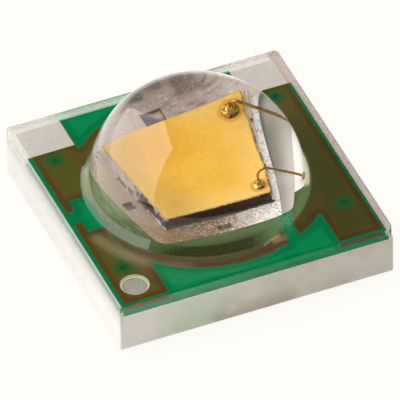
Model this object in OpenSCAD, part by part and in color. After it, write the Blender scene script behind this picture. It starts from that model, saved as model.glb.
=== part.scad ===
// Surface-mount LED on a ceramic tile with a moulded dome lens.
// Origin: centre of the footprint, on the face of the solder pads.
// X runs across the solder pads, Y along them, Z up through the dome.

/* [Body] */
// Side length of the square package
body_w = 3.45; // [3:0.05:4]
// Thickness of the ceramic tile
ceramic_t = 0.5; // [0.3:0.01:0.8]

/* [Solder pads] */
// Thickness of the solder pads
pad_t = 0.03; // [0.02:0.005:0.08]
// Distance from the pads to the edge of the tile
pad_margin = 0.075; // [0.05:0.005:0.2]
// Width of each of the two side pads
side_pad_w = 0.5; // [0.4:0.05:0.7]
// Clear width between neighbouring pads
pad_gap = 0.5; // [0.3:0.05:0.6]
// Thickness of the mask strips between the pads
strip_t = 0.02; // [0.01:0.005:0.03]
// Clearance from a mask strip to the pads beside it
strip_clearance = 0.05; // [0.02:0.01:0.1]

/* [Top copper] */
// Thickness of the top copper
copper_t = 0.03; // [0.02:0.005:0.06]
// Mean distance from the copper to the edge of the tile
copper_margin = 0.095; // [0.05:0.005:0.15]
// Shift of the copper print towards the back
copper_shift = 0.01; // [0:0.005:0.03]
// Width of the strip along each side of the tile
strip_w = 0.55; // [0.4:0.01:0.8]
// Distance from the round centre field to the edge of the tile
field_margin = 0.215; // [0.15:0.005:0.4]
// Width of the gap between the two traces
trace_gap = 0.16; // [0.1:0.01:0.3]
// Distance of that gap from the middle
trace_gap_x = 0.625; // [0.5:0.005:0.8]
// Clear width between the two tabs at the side slot
slot_gap = 0.2; // [0.1:0.01:0.4]
// Height of the wide part of the side slot
slot_h = 0.59; // [0.3:0.01:0.8]
// Depth of the side slot, from the copper edge
slot_depth = 0.38; // [0.2:0.01:0.5]
// Width of the tabs that narrow the slot
tab_w = 0.095; // [0.05:0.005:0.2]

/* [Vias] */
// Diameter of the filled vias
via_d = 0.2; // [0.1:0.01:0.3]
// Distance of the vias from the two edges of the tile
via_inset = [0.325, 0.705]; // [0.2:0.005:1]
// Depth of the dimple above each via
dimple_depth = 0.01; // [0.005:0.001:0.015]

/* [Solder mask] */
// Mean distance from the printed mask to the edge of the tile
mask_margin = 0.045; // [0.03:0.005:0.07]
// Shift of the print towards the polarity corner
mask_shift = 0.015; // [0:0.005:0.035]
// Thickness of the mask above the copper
mask_t = 0.02; // [0.01:0.005:0.04]
// Length of the bare corner lands, from the edge of the tile
land_len = 0.545; // [0.3:0.005:0.6]
// Diameter of the bare polarity dot
dot_d = 0.33; // [0.2:0.01:0.5]
// Distance of the polarity dot from the two edges of the tile
dot_inset = [0.335, 0.37]; // [0.2:0.005:0.6]

/* [Chip field] */
// Left end of the bare field around the chip
field_left = 0.73; // [0.6:0.01:0.9]
// Front end of the bare field around the chip
field_front = 0.675; // [0.6:0.005:0.9]
// Back end of the bare field around the chip
field_back = 0.82; // [0.7:0.01:0.95]
// Right end of the bare field for the wires
wire_field_right = 1.05; // [0.9:0.01:1.2]
// Half height of the bare field for the wires
wire_field_half = 0.38; // [0.3:0.01:0.6]
// Distance of the alignment windows from the edges of the field
window_inset = 0.12; // [0.05:0.005:0.15]
// Size of the front and the back alignment window
window_size = [0.13, 0.08]; // [0.05:0.005:0.2]
// Side length of the square left alignment window
left_window_w = 0.1; // [0.05:0.005:0.15]
// Place of the left alignment window along the field edge
left_window_y = 0.04; // [-0.3:0.005:0.3]

/* [Chip] */
// Side length of the chip
chip_w = 1; // [0.7:0.01:1.1]
// Place of the chip on its field
chip_at = [0, 0.12]; // [-0.15:0.005:0.15]
// Thickness of the die attach
attach_t = 0.01; // [0.005:0.001:0.02]
// Thickness of the chip carrier
carrier_t = 0.06; // [0.04:0.01:0.15]
// Thickness of the phosphor layer
phosphor_t = 0.03; // [0.02:0.005:0.08]
// Step from the edge of the carrier to the phosphor
phosphor_step = 0.015; // [0:0.005:0.05]
// Diameter of the gold pads on the chip
chip_pad_d = 0.14; // [0.1:0.01:0.2]
// Thickness of the gold pads on the chip
chip_pad_t = 0.01; // [0.005:0.001:0.02]
// Distance of the gold pads from the chip edge beside the wires
chip_pad_inset = 0.1; // [0.08:0.005:0.2]
// Distance of the front and back gold pad from the chip edges there
chip_pad_ends = [0.135, 0.115]; // [0.08:0.005:0.4]

/* [Bond wires] */
// Diameter of the wire
wire_d = 0.022; // [0.018:0.002:0.04]
// Diameter of the ball
ball_d = 0.11; // [0.07:0.005:0.13]
// Height of the ball
ball_h = 0.045; // [0.03:0.005:0.06]
// Height of the shoulder on the ball
shoulder_h = 0.02; // [0.01:0.005:0.04]
// Heights of the straight neck above the front and the back ball
neck_h = [0.045, 0.02]; // [0.01:0.005:0.08]
// Bend radii at the top of the front and the back loop
loop_r = [0.065, 0.05]; // [0.04:0.005:0.1]
// Bend radius at the end of the loop
end_r = 0.05; // [0.03:0.005:0.1]
// Distance of the wire ends from the middle
wire_end_x = 0.85; // [0.75:0.01:0.95]
// Places of the two wire ends along the field
wire_end_y = [-0.205, 0.25]; // [-0.33:0.005:0.33]
// Diameter of the bump at the end of the wire
bump_d = 0.09; // [0.05:0.005:0.12]
// Height of the bump at the end of the wire
bump_h = 0.03; // [0.02:0.005:0.04]

/* [Lens] */
// Thickness of the clear film above the mask
film_t = 0.11; // [0.05:0.01:0.2]
// Corner radius of the film
film_corner_r = 0.05; // [0.02:0.01:0.2]
// Radius of the dome
dome_r = 1.27; // [1:0.01:1.35]
// Place of the dome on the tile
dome_at = [-0.035, -0.01]; // [-0.06:0.005:0.06]
// How far the sloping foot reaches beyond the dome
foot_w = 0.09; // [0.03:0.01:0.12]
// Height of the sloping foot
foot_h = 0.08; // [0.03:0.01:0.12]

/* [Hidden] */
$fn = 96;
eps = 0.01;
joint_swell = 0.04 * wire_d;
ceramic_z = pad_t;
copper_z = ceramic_z + ceramic_t;
copper_top = copper_z + copper_t;
mask_top = copper_top + mask_t;
film_top = mask_top + film_t;
pad_len = body_w - 2 * pad_margin;
thermal_pad_w = pad_len - 2 * (side_pad_w + pad_gap);
copper_w = body_w - 2 * copper_margin;
field_r = body_w / 2 - field_margin;
mask_w = body_w - 2 * mask_margin;
land_y = body_w / 2 - land_len;
via_x = body_w / 2 - via_inset[0];
via_y = body_w / 2 - via_inset[1];
strip_edge = copper_w / 2 - strip_w;
side_pad_x = thermal_pad_w / 2 + pad_gap + side_pad_w / 2;
gap_left = trace_gap_x - trace_gap / 2;
gap_right = trace_gap_x + trace_gap / 2;
dot_at = [dot_inset[0] - body_w / 2, dot_inset[1] - body_w / 2];
dimple_r = (via_d * via_d / 4 + dimple_depth * dimple_depth) / (2 * dimple_depth);
chip_pad_x = chip_w / 2 - chip_pad_inset;
chip_pad_y = [chip_pad_ends[0] - chip_w / 2, chip_w / 2 - chip_pad_ends[1]];
attach_z = copper_top;
carrier_z = attach_z + attach_t;
phosphor_z = carrier_z + carrier_t;
chip_pad_top = phosphor_z + chip_pad_t;
neck_z = chip_pad_top + ball_h + shoulder_h;
wire_end_z = copper_top + wire_d / 2;
foot_touch = sqrt(dome_r * dome_r - foot_h * foot_h);

// A flat block on its base, centred on X and Y.
module slab(w, l, h, z) {
  translate([-w / 2, -l / 2, z])
    cube([w, l, h]);
}

// One filled via at a sign pair of the four places.
module via(sx, sy, h) {
  translate([sx * via_x, sy * via_y, ceramic_z])
    cylinder(d = via_d, h = h);
}

// Outline of the copper before the gap splits it.
module copper_outline() {
  intersection() {
    translate([0, copper_shift])
      square([copper_w, copper_w], center = true);
    translate([0, copper_shift]) {
      circle(r = field_r);
      for (s = [-1, 1])
        translate([s * (strip_edge + strip_w / 2), 0])
          square([strip_w, copper_w], center = true);
    }
  }
}

// The side slot: narrow between the tabs, wide behind them.
module slot_outline() {
  translate([-copper_w / 2 - eps, -slot_gap / 2])
    square([slot_depth + eps, slot_gap]);
  translate([-copper_w / 2 + tab_w, -slot_h / 2])
    square([slot_depth - tab_w, slot_h]);
}

// Alignment windows at the edges of the chip field.
module window_outline() {
  translate([window_inset - field_left, left_window_y])
    square(left_window_w, center = true);
  for (y = [window_inset - field_front, field_back - window_inset])
    translate([0, y])
      square(window_size, center = true);
}

// Flat shape of the trace below the chip.
module die_trace_outline() {
  difference() {
    intersection() {
      copper_outline();
      translate([-body_w, -body_w])
        square([body_w + gap_left, 2 * body_w]);
    }
    slot_outline();
    window_outline();
  }
}

// Flat shape of the trace that takes the wires.
module wire_trace_outline() {
  intersection() {
    copper_outline();
    translate([gap_right, -body_w])
      square([body_w, 2 * body_w]);
  }
}

// Places left free of mask.
module mask_openings() {
  for (s = [-1, 1])
    translate([s * (strip_edge + body_w / 2), land_y + body_w / 2])
      square([body_w, body_w], center = true);
  translate(dot_at)
    circle(d = dot_d);
  translate([-field_left, -field_front])
    square([field_left + gap_right, field_front + field_back]);
  translate([gap_right - eps, -wire_field_half])
    square([wire_field_right - gap_right + eps, 2 * wire_field_half]);
}

// Flat shape of the printed mask.
module mask_outline() {
  difference() {
    translate([-mask_shift, -mask_shift])
      square([mask_w, mask_w], center = true);
    mask_openings();
  }
}

// Flat shape of the film with rounded corners.
module film_outline() {
  span = body_w - 2 * film_corner_r;
  square([body_w, span], center = true);
  square([span, body_w], center = true);
  for (sx = [-1, 1], sy = [-1, 1])
    translate([sx * span / 2, sy * span / 2])
      circle(r = film_corner_r);
}

// A square layer of the chip.
module chip_layer(w, h, z) {
  translate([chip_at[0] - w / 2, chip_at[1] - w / 2, z])
    cube([w, w, h]);
}

// A round piece on the gold pad with index i.
module at_chip_pad(i) {
  translate([chip_at[0] + chip_pad_x, chip_at[1] + chip_pad_y[i], phosphor_z])
    children();
}

// Gold pad with index i on the chip.
module chip_pad(i) {
  at_chip_pad(i)
    cylinder(d = chip_pad_d, h = chip_pad_t);
}

// Part of a ring of round wire in the XZ plane, from angle a0 over the sweep.
module wire_bend(r, a0, sweep) {
  rotate([90, 0, 0])
    rotate([0, 0, a0])
      rotate_extrude(angle = sweep)
        translate([r, 0])
          circle(d = wire_d, $fn = 24);
}

// A bead a little wider than the wire, which joins two runs of it.
module wire_joint() {
  sphere(d = wire_d + joint_swell, $fn = 24);
}

// Ball, shoulder and neck of the wire with index i, from its base upward.
module wire_ball(i) {
  intersection() {
    translate([0, 0, ball_h / 2])
      sphere(d = ball_d, $fn = 48);
    translate([-ball_d, -ball_d, 0])
      cube([2 * ball_d, 2 * ball_d, ball_h]);
  }
  translate([0, 0, ball_h])
    cylinder(d1 = 2 * wire_d, d2 = wire_d, h = shoulder_h, $fn = 24);
  translate([0, 0, ball_h + shoulder_h])
    cylinder(d = wire_d, h = neck_h[i], $fn = 24);
  translate([0, 0, ball_h + shoulder_h + neck_h[i]])
    wire_joint();
}

// A whole wire with index i: two bends joined by their common tangent.
module bond_wire(i) {
  x0 = chip_at[0] + chip_pad_x;
  y0 = chip_at[1] + chip_pad_y[i];
  dx = wire_end_x - x0;
  dy = wire_end_y[i] - y0;
  reach = sqrt(dx * dx + dy * dy);
  bend_z = neck_z + neck_h[i];
  drop = wire_end_z + end_r - bend_z;
  span = reach - loop_r[i];
  both_r = loop_r[i] + end_r;
  dist = sqrt(span * span + drop * drop);
  slope = asin(both_r / dist) - atan2(drop, span);
  run = sqrt(dist * dist - both_r * both_r);
  translate([x0, y0, 0])
    rotate([0, 0, atan2(dy, dx)]) {
      translate([0, 0, chip_pad_top])
        wire_ball(i);
      translate([loop_r[i], 0, bend_z]) {
        wire_bend(loop_r[i], 90 - slope, 90 + slope);
        rotate([0, 90 + slope, 0])
          translate([-loop_r[i], 0, 0]) {
            wire_joint();
            cylinder(d = wire_d, h = run, $fn = 24);
            translate([0, 0, run])
              wire_joint();
          }
      }
      translate([reach, 0, wire_end_z + end_r])
        wire_bend(end_r, 270 - slope, slope);
      translate([reach, 0, copper_top])
        cylinder(d = bump_d, h = bump_h, $fn = 48);
    }
}

// Dome with its sloping foot, on the film.
module dome() {
  translate([dome_at[0], dome_at[1], film_top])
    rotate_extrude() {
      intersection() {
        circle(r = dome_r, $fn = 192);
        square([dome_r, dome_r]);
      }
      polygon([[0, 0], [dome_r + foot_w, 0], [foot_touch, foot_h], [0, foot_h]]);
    }
}

// Everything that the lens is moulded over.
module moulded_in() {
  translate([0, 0, copper_z])
    linear_extrude(height = copper_t) {
      die_trace_outline();
      wire_trace_outline();
    }
  solder_mask();
  chip_layer(chip_w, attach_t, attach_z);
  chip_layer(chip_w, carrier_t, carrier_z);
  phosphor_layer();
  for (i = [0, 1]) {
    chip_pad(i);
    bond_wire(i);
  }
}

module ceramic_substrate() {
  color("GhostWhite")
    difference() {
      slab(body_w, body_w, ceramic_t, ceramic_z);
      for (sx = [-1, 1], sy = [-1, 1])
        via(sx, sy, ceramic_t);
    }
}

module solder_pad_left() {
  color("Silver")
    translate([-side_pad_x, 0, 0])
      slab(side_pad_w, pad_len, pad_t, 0);
}

module solder_pad_thermal() {
  color("Silver")
    slab(thermal_pad_w, pad_len, pad_t, 0);
}

module solder_pad_right() {
  color("Silver")
    translate([side_pad_x, 0, 0])
      slab(side_pad_w, pad_len, pad_t, 0);
}

module bottom_mask_left() {
  color("SeaGreen")
    translate([-(thermal_pad_w + pad_gap) / 2, 0, 0])
      slab(pad_gap - 2 * strip_clearance, pad_len, strip_t, pad_t - strip_t);
}

module bottom_mask_right() {
  color("SeaGreen")
    translate([(thermal_pad_w + pad_gap) / 2, 0, 0])
      slab(pad_gap - 2 * strip_clearance, pad_len, strip_t, pad_t - strip_t);
}

module via_front_left() {
  color("Peru")
    via(-1, -1, ceramic_t);
}

module via_front_right() {
  color("Peru")
    via(1, -1, ceramic_t);
}

module via_back_left() {
  color("Peru")
    via(-1, 1, ceramic_t);
}

module via_back_right() {
  color("Peru")
    via(1, 1, ceramic_t);
}

module die_trace() {
  color("LightGray")
    translate([0, 0, copper_z])
      linear_extrude(height = copper_t)
        die_trace_outline();
}

module wire_trace() {
  color("LightGray")
    translate([0, 0, copper_z])
      linear_extrude(height = copper_t)
        wire_trace_outline();
}

module solder_mask() {
  color("SeaGreen")
    difference() {
      translate([0, 0, copper_z])
        linear_extrude(height = copper_t + mask_t)
          mask_outline();
      translate([0, 0, copper_z])
        linear_extrude(height = copper_t) {
          die_trace_outline();
          wire_trace_outline();
        }
      for (sx = [-1, 1], sy = [-1, 1])
        translate([sx * via_x, sy * via_y, mask_top - dimple_depth + dimple_r])
          sphere(r = dimple_r);
    }
}

module die_attach() {
  color("DarkGray")
    chip_layer(chip_w, attach_t, attach_z);
}

module chip_carrier() {
  color("DimGray")
    chip_layer(chip_w, carrier_t, carrier_z);
}

module phosphor_layer() {
  color("Gold")
    difference() {
      chip_layer(chip_w - 2 * phosphor_step, phosphor_t, phosphor_z);
      for (i = [0, 1])
        at_chip_pad(i)
          translate([0, 0, -eps])
            cylinder(d = chip_pad_d, h = phosphor_t + 2 * eps);
    }
}

module chip_pad_front() {
  color("Goldenrod")
    chip_pad(0);
}

module chip_pad_back() {
  color("Goldenrod")
    chip_pad(1);
}

module bond_wire_front() {
  color("Goldenrod")
    bond_wire(0);
}

module bond_wire_back() {
  color("Goldenrod")
    bond_wire(1);
}

module lens() {
  color("WhiteSmoke", 0.35)
    difference() {
      union() {
        translate([0, 0, copper_z])
          linear_extrude(height = film_top - copper_z)
            film_outline();
        dome();
      }
      moulded_in();
    }
}

ceramic_substrate();
solder_pad_left();
solder_pad_thermal();
solder_pad_right();
bottom_mask_left();
bottom_mask_right();
via_front_left();
via_front_right();
via_back_left();
via_back_right();
die_trace();
wire_trace();
solder_mask();
die_attach();
chip_carrier();
phosphor_layer();
chip_pad_front();
chip_pad_back();
bond_wire_front();
bond_wire_back();
lens();
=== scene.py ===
"""Surface-mount LED: a ceramic tile with a green mask, a phosphor-coated chip, two gold wires and a clear
domed lens. Lengths are in millimetres up to where a mesh is made, and colours in whole numbers are screen
colours from 0 to 255."""

import math

import bmesh
import bpy
import numpy as np
from bpy.props import FloatProperty, FloatVectorProperty, IntProperty, PointerProperty
from mathutils import Matrix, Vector
from mathutils.geometry import delaunay_2d_cdt


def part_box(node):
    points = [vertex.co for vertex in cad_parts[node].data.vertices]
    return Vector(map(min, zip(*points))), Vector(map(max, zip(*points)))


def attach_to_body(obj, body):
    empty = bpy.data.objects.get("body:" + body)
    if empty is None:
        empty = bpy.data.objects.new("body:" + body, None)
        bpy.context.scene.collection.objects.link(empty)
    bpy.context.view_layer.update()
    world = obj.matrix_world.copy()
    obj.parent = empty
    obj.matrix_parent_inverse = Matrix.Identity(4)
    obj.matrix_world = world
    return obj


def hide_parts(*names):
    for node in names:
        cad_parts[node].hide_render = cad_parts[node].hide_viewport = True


bl_info = {
    "name": "Surface-mount LED",
    "version": (1, 0, 0),
    "blender": (4, 5, 0),
    "location": "View3D > Sidebar > LED",
    "description": "Builds the visible pieces of a surface-mount LED around its packed solids",
    "category": "Object",
}

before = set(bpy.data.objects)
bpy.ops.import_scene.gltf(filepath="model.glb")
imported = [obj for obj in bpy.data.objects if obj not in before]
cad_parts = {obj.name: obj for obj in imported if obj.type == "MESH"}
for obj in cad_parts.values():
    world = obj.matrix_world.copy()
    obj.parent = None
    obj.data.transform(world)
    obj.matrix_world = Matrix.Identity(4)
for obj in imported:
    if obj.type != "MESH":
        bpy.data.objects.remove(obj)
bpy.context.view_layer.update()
MM = 0.001


def low(node):
    """Lowest corner of a node's box, in millimetres."""
    return np.array(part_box(node)[0]) / MM


def high(node):
    """Highest corner of a node's box, in millimetres."""
    return np.array(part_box(node)[1]) / MM


TILE_LOW, TILE_HIGH = low("ceramic_substrate"), high("ceramic_substrate")
MASK_LOW, MASK_HIGH = low("solder_mask"), high("solder_mask")
DIE_LOW, DIE_HIGH = low("die_trace"), high("die_trace")
LAND_LOW, LAND_HIGH = low("wire_trace"), high("wire_trace")
CHIP_LOW, CHIP_HIGH = low("chip_carrier"), high("chip_carrier")
GLOW_LOW, GLOW_HIGH = low("phosphor_layer"), high("phosphor_layer")
TILE_HALF = TILE_HIGH[0]
COPPER_HALF = LAND_HIGH[0]
COPPER_SHIFT = (DIE_LOW[1] + DIE_HIGH[1]) / 2
COPPER_TOP = DIE_HIGH[2]
CERAMIC_TOP = TILE_HIGH[2]
MASK_TOP = MASK_HIGH[2]
GAP_X, GAP_HALF = (DIE_HIGH[0] + LAND_LOW[0]) / 2, (LAND_LOW[0] - DIE_HIGH[0]) / 2

# Radius to which etching rounds the copper's corners
ROUND = 0.09
# Centres of the three windows in the chip field, and half the side of the square that holds each
WINDOWS = ((-0.61, 0.04), (0.0, -0.555), (0.0, 0.7))
WINDOW_HALF = 0.08
# Heights between which the ceramic turns to the colours of its upper face
ON_TOP = (0.5, 0.52)
# Distances from the middle between which it turns to the colours of an upright face
AT_SIDE = (1.68, 1.71)

# Painted reflection and shade of the plated chip field: colours in front of the chip, behind it, and from
# front to back beside it
FIELD_FRONT_SHADING = (
    (0.0, (176, 144, 118)), (0.18, (142, 112, 84)), (0.3, (134, 102, 74)), (0.52, (120, 88, 58)),
    (0.66, (166, 142, 116)), (0.78, (224, 216, 202)), (1.0, (246, 242, 234)),
)
FIELD_BACK_SHADING = (
    (0.0, (214, 202, 194)), (0.36, (200, 184, 174)), (0.46, (188, 172, 160)), (0.56, (172, 154, 140)),
    (0.78, (178, 158, 146)), (0.92, (214, 202, 192)), (1.0, (232, 222, 212)),
)
FIELD_SIDE_SHADING = (
    (0.0, (170, 138, 110)), (0.35, (160, 138, 116)), (0.6, (172, 152, 134)), (0.8, (184, 168, 150)),
    (1.0, (184, 168, 154)),
)

# Profiles of a wire's ball and of its end bump: share of the radius, and height
BALL = np.array([
    (0.8, 0.0), (0.93, 0.004), (1.0, 0.014), (0.99, 0.024), (0.9, 0.034), (0.74, 0.041), (0.6, 0.045),
    (0.55, 0.05), (0.5, 0.058), (0.38, 0.063), (0.27, 0.067), (0.24, 0.08),
])
BUMP = np.array([(0.9, 0.0), (1.0, 0.006), (0.97, 0.016), (0.8, 0.025), (0.4, 0.03)])
# Height above its gold pad from which a wire's straight neck is counted
NECK_BASE = 0.065
# Places of the wires' ends along the tile
FRONT_END, BACK_END = -0.205, 0.25

# Axes of the camera, and the point that it looks at with its shift to the right and up, in millimetres
CAMERA_UP = np.array([0.2687, 0.6093, 0.7462])
CAMERA_BACK = np.array([-0.2852, -0.6899, 0.6660])
TARGET, TARGET_RIGHT, TARGET_UP = np.array([0, 0, 0.69]), 0.0082, -0.2602
# Width of the camera's film in millimetres, and of the picture in pixels
FILM_WIDTH, PICTURE_WIDTH = 36, 400

# Corner and edges of the tall soft box, in tenths of a metre
BOX_CORNER = np.array([-0.449, -0.045, 0.892])
BOX_DOWN = np.array([-0.008, -0.169, -0.986])
BOX_LEVEL = np.array([0.288, 0.943, -0.162])
# Outline of the soft box, as shares of its level and its downward edge
BOX_OUTLINE = np.array([(0, 0), (0.62, 0), (0.8, 0.46), (1.25, 0.86), (0, 0.86)])
# Colour of the white that the camera sees round the part
PAPER = (255, 253, 248)


def srgb(red, green, blue):
    """Linear colour of a screen colour given from 0 to 255."""
    c = np.array([red, green, blue]) / 255
    linear = np.where(c <= 0.04045, c / 12.92, ((c + 0.055) / 1.055) ** 2.4)
    return tuple(float(v) for v in linear)


def size(name, text, value):
    """A length property whose default is given in millimetres."""
    return FloatProperty(name=name, description=text, default=value * MM, unit="LENGTH", precision=6)


def tint(name, text, colour):
    """A colour property whose default is a screen colour."""
    default = srgb(*colour)
    return FloatVectorProperty(name=name, description=text, default=default, subtype="COLOR", min=0, max=1)


def light(name, text, value, most=20):
    """A property for the brightness of a light."""
    return FloatProperty(name=name, description=text, default=value, min=0, max=most)


class LedLensSettings(bpy.types.PropertyGroup):
    dome_radius: size("Dome radius", "Radius of the dome", 1.27)
    foot_width: size("Foot width", "How far the sloping foot reaches beyond the dome", 0.09)
    foot_height: size("Foot height", "Height of the sloping foot at the dome", 0.08)
    centre_x: size("Centre X", "Place of the dome on the tile", -0.035)
    centre_y: size("Centre Y", "Place of the dome on the tile", -0.01)
    film_top: size("Film top", "Height of the flat film above the solder pads", 0.69)
    corners: FloatVectorProperty(
        name="Corner radii", description="Corner radii of the film, from the corner at +X +Y onwards",
        size=4, unit="LENGTH", default=(0.05 * MM, 0.012 * MM, 0.02 * MM, 0.09 * MM),
    )
    edge: size("Edge radius", "Radius of the film's upper edge", 0.01)
    saw_depth: size("Saw marks", "Depth of the saw marks in the film's sides", 0.0012)
    index: FloatProperty(
        name="Refractive index", description="Refractive index of the silicone", default=1.53, min=1, max=2
    )
    rings: IntProperty(name="Rings", description="Rings of faces on the dome", default=72, min=8, max=200)


class LedBoardSettings(bpy.types.PropertyGroup):
    field_radius: size("Field radius", "Radius of the round copper field", 1.51)
    strip_width: size("Strip width", "Width of the copper strip along each side", 0.55)
    slot_depth: size("Slot depth", "Depth of the side slot", 0.38)
    slot_gap: size("Slot gap", "Clear width between the two tabs of the side slot", 0.2)
    slot_height: size("Slot height", "Height of the wide part of the side slot", 0.59)
    tab_width: size("Tab width", "Width of the tabs that narrow the slot", 0.095)
    land_edge: size("Land edge", "Distance of the bare corner lands from the middle", 1.18)
    dot_x: size("Dot X", "Place of the polarity dot", -1.39)
    dot_y: size("Dot Y", "Place of the polarity dot", -1.355)
    dot_radius: size("Dot radius", "Radius of the polarity dot", 0.165)
    field_left: size("Field left", "Distance of the bare chip field's left edge from the middle", 0.73)
    field_front: size("Field front", "Distance of the field's front edge from the middle", 0.675)
    field_back: size("Field back", "Distance of the field's back edge from the middle", 0.82)
    wire_right: size("Wire field right", "Distance of the wire field's right edge from the middle", 1.05)
    wire_half: size("Wire field half", "Half height of the wire field", 0.38)
    via_x: size("Via X", "Distance of the vias from the middle", 1.4)
    via_y: size("Via Y", "Distance of the vias from the middle", 1.02)
    step: size("Mask step", "How far the mask sinks beside the copper", 0.014)
    mask_green: tint("Mask over ceramic", "Colour of the mask on the ceramic", (0, 130, 75))
    mask_olive: tint("Mask over copper", "Colour of the mask on the copper", (86, 86, 33))
    mask_rust: tint("Mask at edges", "Colour of the thin mask along the copper edges", (104, 66, 25))
    mask_shade: tint(
        "Mask away from the light", "Colour of the mask on the copper on the far side", (64, 66, 30)
    )
    ceramic: tint("Ceramic", "Colour of the ceramic", (232, 226, 219))
    silver: tint("Plating", "Colour of the plated copper", (205, 197, 187))


class LedChipSettings(bpy.types.PropertyGroup):
    phosphor: tint("Phosphor", "Colour of the phosphor layer", (225, 174, 72))
    pale: tint("Phosphor edge", "Colour of the phosphor towards the chip's edges", (233, 191, 105))
    carrier: tint("Carrier", "Colour of the chip's sawn sides", (70, 51, 42))
    gold: tint("Gold", "Colour of the wires and balls", (236, 190, 112))
    wire: size("Wire diameter", "Diameter of the bond wires", 0.022)
    ball: size("Ball diameter", "Diameter of the balls", 0.11)
    bump: size("Bump diameter", "Diameter of the bumps at the wire ends", 0.09)
    front_loop: size("Front loop radius", "Bend radius at the top of the front loop", 0.065)
    back_loop: size("Back loop radius", "Bend radius at the top of the back loop", 0.05)
    front_neck: size("Front neck", "Height of the straight neck above the front ball", 0.045)
    back_neck: size("Back neck", "Height of the straight neck above the back ball", 0.02)
    heel: size("Heel radius", "Bend radius at the end of the loops", 0.05)
    end_x: size("Wire end", "Distance of the wire ends from the middle", 0.85)


class LedStageSettings(bpy.types.PropertyGroup):
    scale: FloatProperty(
        name="Scale", description="Picture pixels per millimetre", default=85.7, min=10, max=500
    )
    distance: size("Camera distance", "Distance of the camera from the part", 205)
    sky: light("Sky", "Strength of the even light", 0.42, 2)
    panel: light("Panel", "Brightness of the tall soft box", 3.0)
    side: light("Side light", "Brightness of the light from the soft box's side", 1.35)
    fill: light("Fill", "Brightness of the soft box overhead", 2.8)
    right: light("Right light", "Brightness of the light from the right", 1.3)
    below: light("Light from below", "Brightness of the light that shows the underside", 1.1)


# Meshes


def skin(rings, marks=0):
    """Points and faces over closed rings (rows, columns, 3): each point joins its neighbours in the row and
    in the next row, and both ends are closed by a fan to the middle of their ring. marks gives each band, or
    each face of it, its material."""
    rows, columns = rings.shape[:2]
    index = np.arange(rows * columns).reshape(rows, columns)
    beside = np.roll(index, -1, axis=1)
    quads = np.stack([index[:-1], beside[:-1], beside[1:], index[1:]], -1).reshape(-1, 4)
    marks = np.broadcast_to(marks, (rows - 1, columns))
    middle = np.full(columns, rows * columns)
    first, last = [beside[0], index[0], middle], [index[-1], beside[-1], middle + 1]
    faces = quads.tolist() + np.stack(first, -1).tolist() + np.stack(last, -1).tolist()
    points = np.concatenate([rings.reshape(-1, 3), rings[:1].mean(1), rings[-1:].mean(1)])
    kinds = np.concatenate([marks.ravel(), np.repeat([marks[0, 0], marks[-1, 0]], columns)])
    return points, faces, kinds.tolist()


def rounded(half_x, half_y, corner, inset, side, turn):
    """Outline of a rectangle with rounded corners, anticlockwise: each side is a straight run and each
    corner a quarter circle about a fixed centre, whose radius is the corner's less the inset. corner is one
    radius, or four from the corner at +X +Y onwards, and side and turn are the points of a side and of a
    corner."""
    quarter = np.linspace(0, math.pi / 2, turn)
    corners = np.broadcast_to(corner, 4)
    parts = []
    for k in range(4):
        across, along = (half_x, half_y) if k % 2 == 0 else (half_y, half_x)
        run = np.linspace(corners[k - 1] - along, along - corners[k], side + 2)[1:-1]
        bend = across - corners[k] + (corners[k] - inset) * np.cos(quarter)
        x = np.concatenate([np.full(side, across - inset), bend])
        y = np.concatenate([run, along - corners[k] + (corners[k] - inset) * np.sin(quarter)])
        c, s = (1, 0, -1, 0)[k], (0, 1, 0, -1)[k]
        parts.append(np.stack([c * x - s * y, s * x + c * y], -1))
    return np.concatenate(parts)


def lid(ring, steps=16):
    """Rings of a flat face: the outline shrunk in even steps towards its middle."""
    middle = ring.mean(0)
    return [middle + (ring - middle) * (1 - t) for t in np.linspace(0, 0.97, steps)[1:]]


def circle(x, y, radius, count=72):
    """Points of a circle, anticlockwise: the centre plus the radius times cosine and sine."""
    a = np.linspace(0, 2 * math.pi, count, endpoint=False)
    return np.stack([x + radius * np.cos(a), y + radius * np.sin(a)], -1)


def lift(outline, z):
    """An outline at a height, or at a height for each of its points."""
    return np.concatenate([outline, np.broadcast_to(z, (len(outline),))[:, None]], -1)


def waves(seed, lowest, highest, count=24):
    """A repeatable rough line between -1 and 1: a sum of sines with random pitch and phase, the slower ones
    stronger. Returns a function of the place along the line and of a slow drift."""
    draw = np.random.default_rng(seed)
    pitch = np.exp(draw.uniform(math.log(lowest), math.log(highest), count))
    phase, drift = draw.uniform(0, 2 * math.pi, count), draw.normal(0, 1, count)
    weight = (lowest / pitch) ** 0.5

    def line(along, across=0.0):
        along, across = np.asarray(along)[..., None], np.asarray(across)[..., None]
        return (weight * np.sin(pitch * along + phase + drift * across)).sum(-1) / weight.sum() * 2.2

    return line


def lengths(outline):
    """Distance along a closed outline up to each of its points."""
    steps = np.linalg.norm(np.roll(outline, -1, axis=0) - outline, axis=1)
    return np.concatenate([[0], np.cumsum(steps)[:-1]])


def outward(outline):
    """Unit normals of a closed outline: the tangent between each point's neighbours, turned a quarter
    clockwise."""
    along = np.roll(outline, -1, axis=0) - np.roll(outline, 1, axis=0)
    along /= np.linalg.norm(along, axis=1, keepdims=True)
    return np.stack([along[:, 1], -along[:, 0]], -1)


def revolve(profile, x, y, z, count=48):
    """Surface of revolution: a profile of radii and heights carried round a vertical axis."""
    a = np.linspace(0, 2 * math.pi, count, endpoint=False)
    r, h = profile[:, 0, None], profile[:, 1, None]
    rings = np.stack([x + r * np.cos(a), y + r * np.sin(a), z + h + 0 * a], -1)
    return skin(rings)


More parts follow.
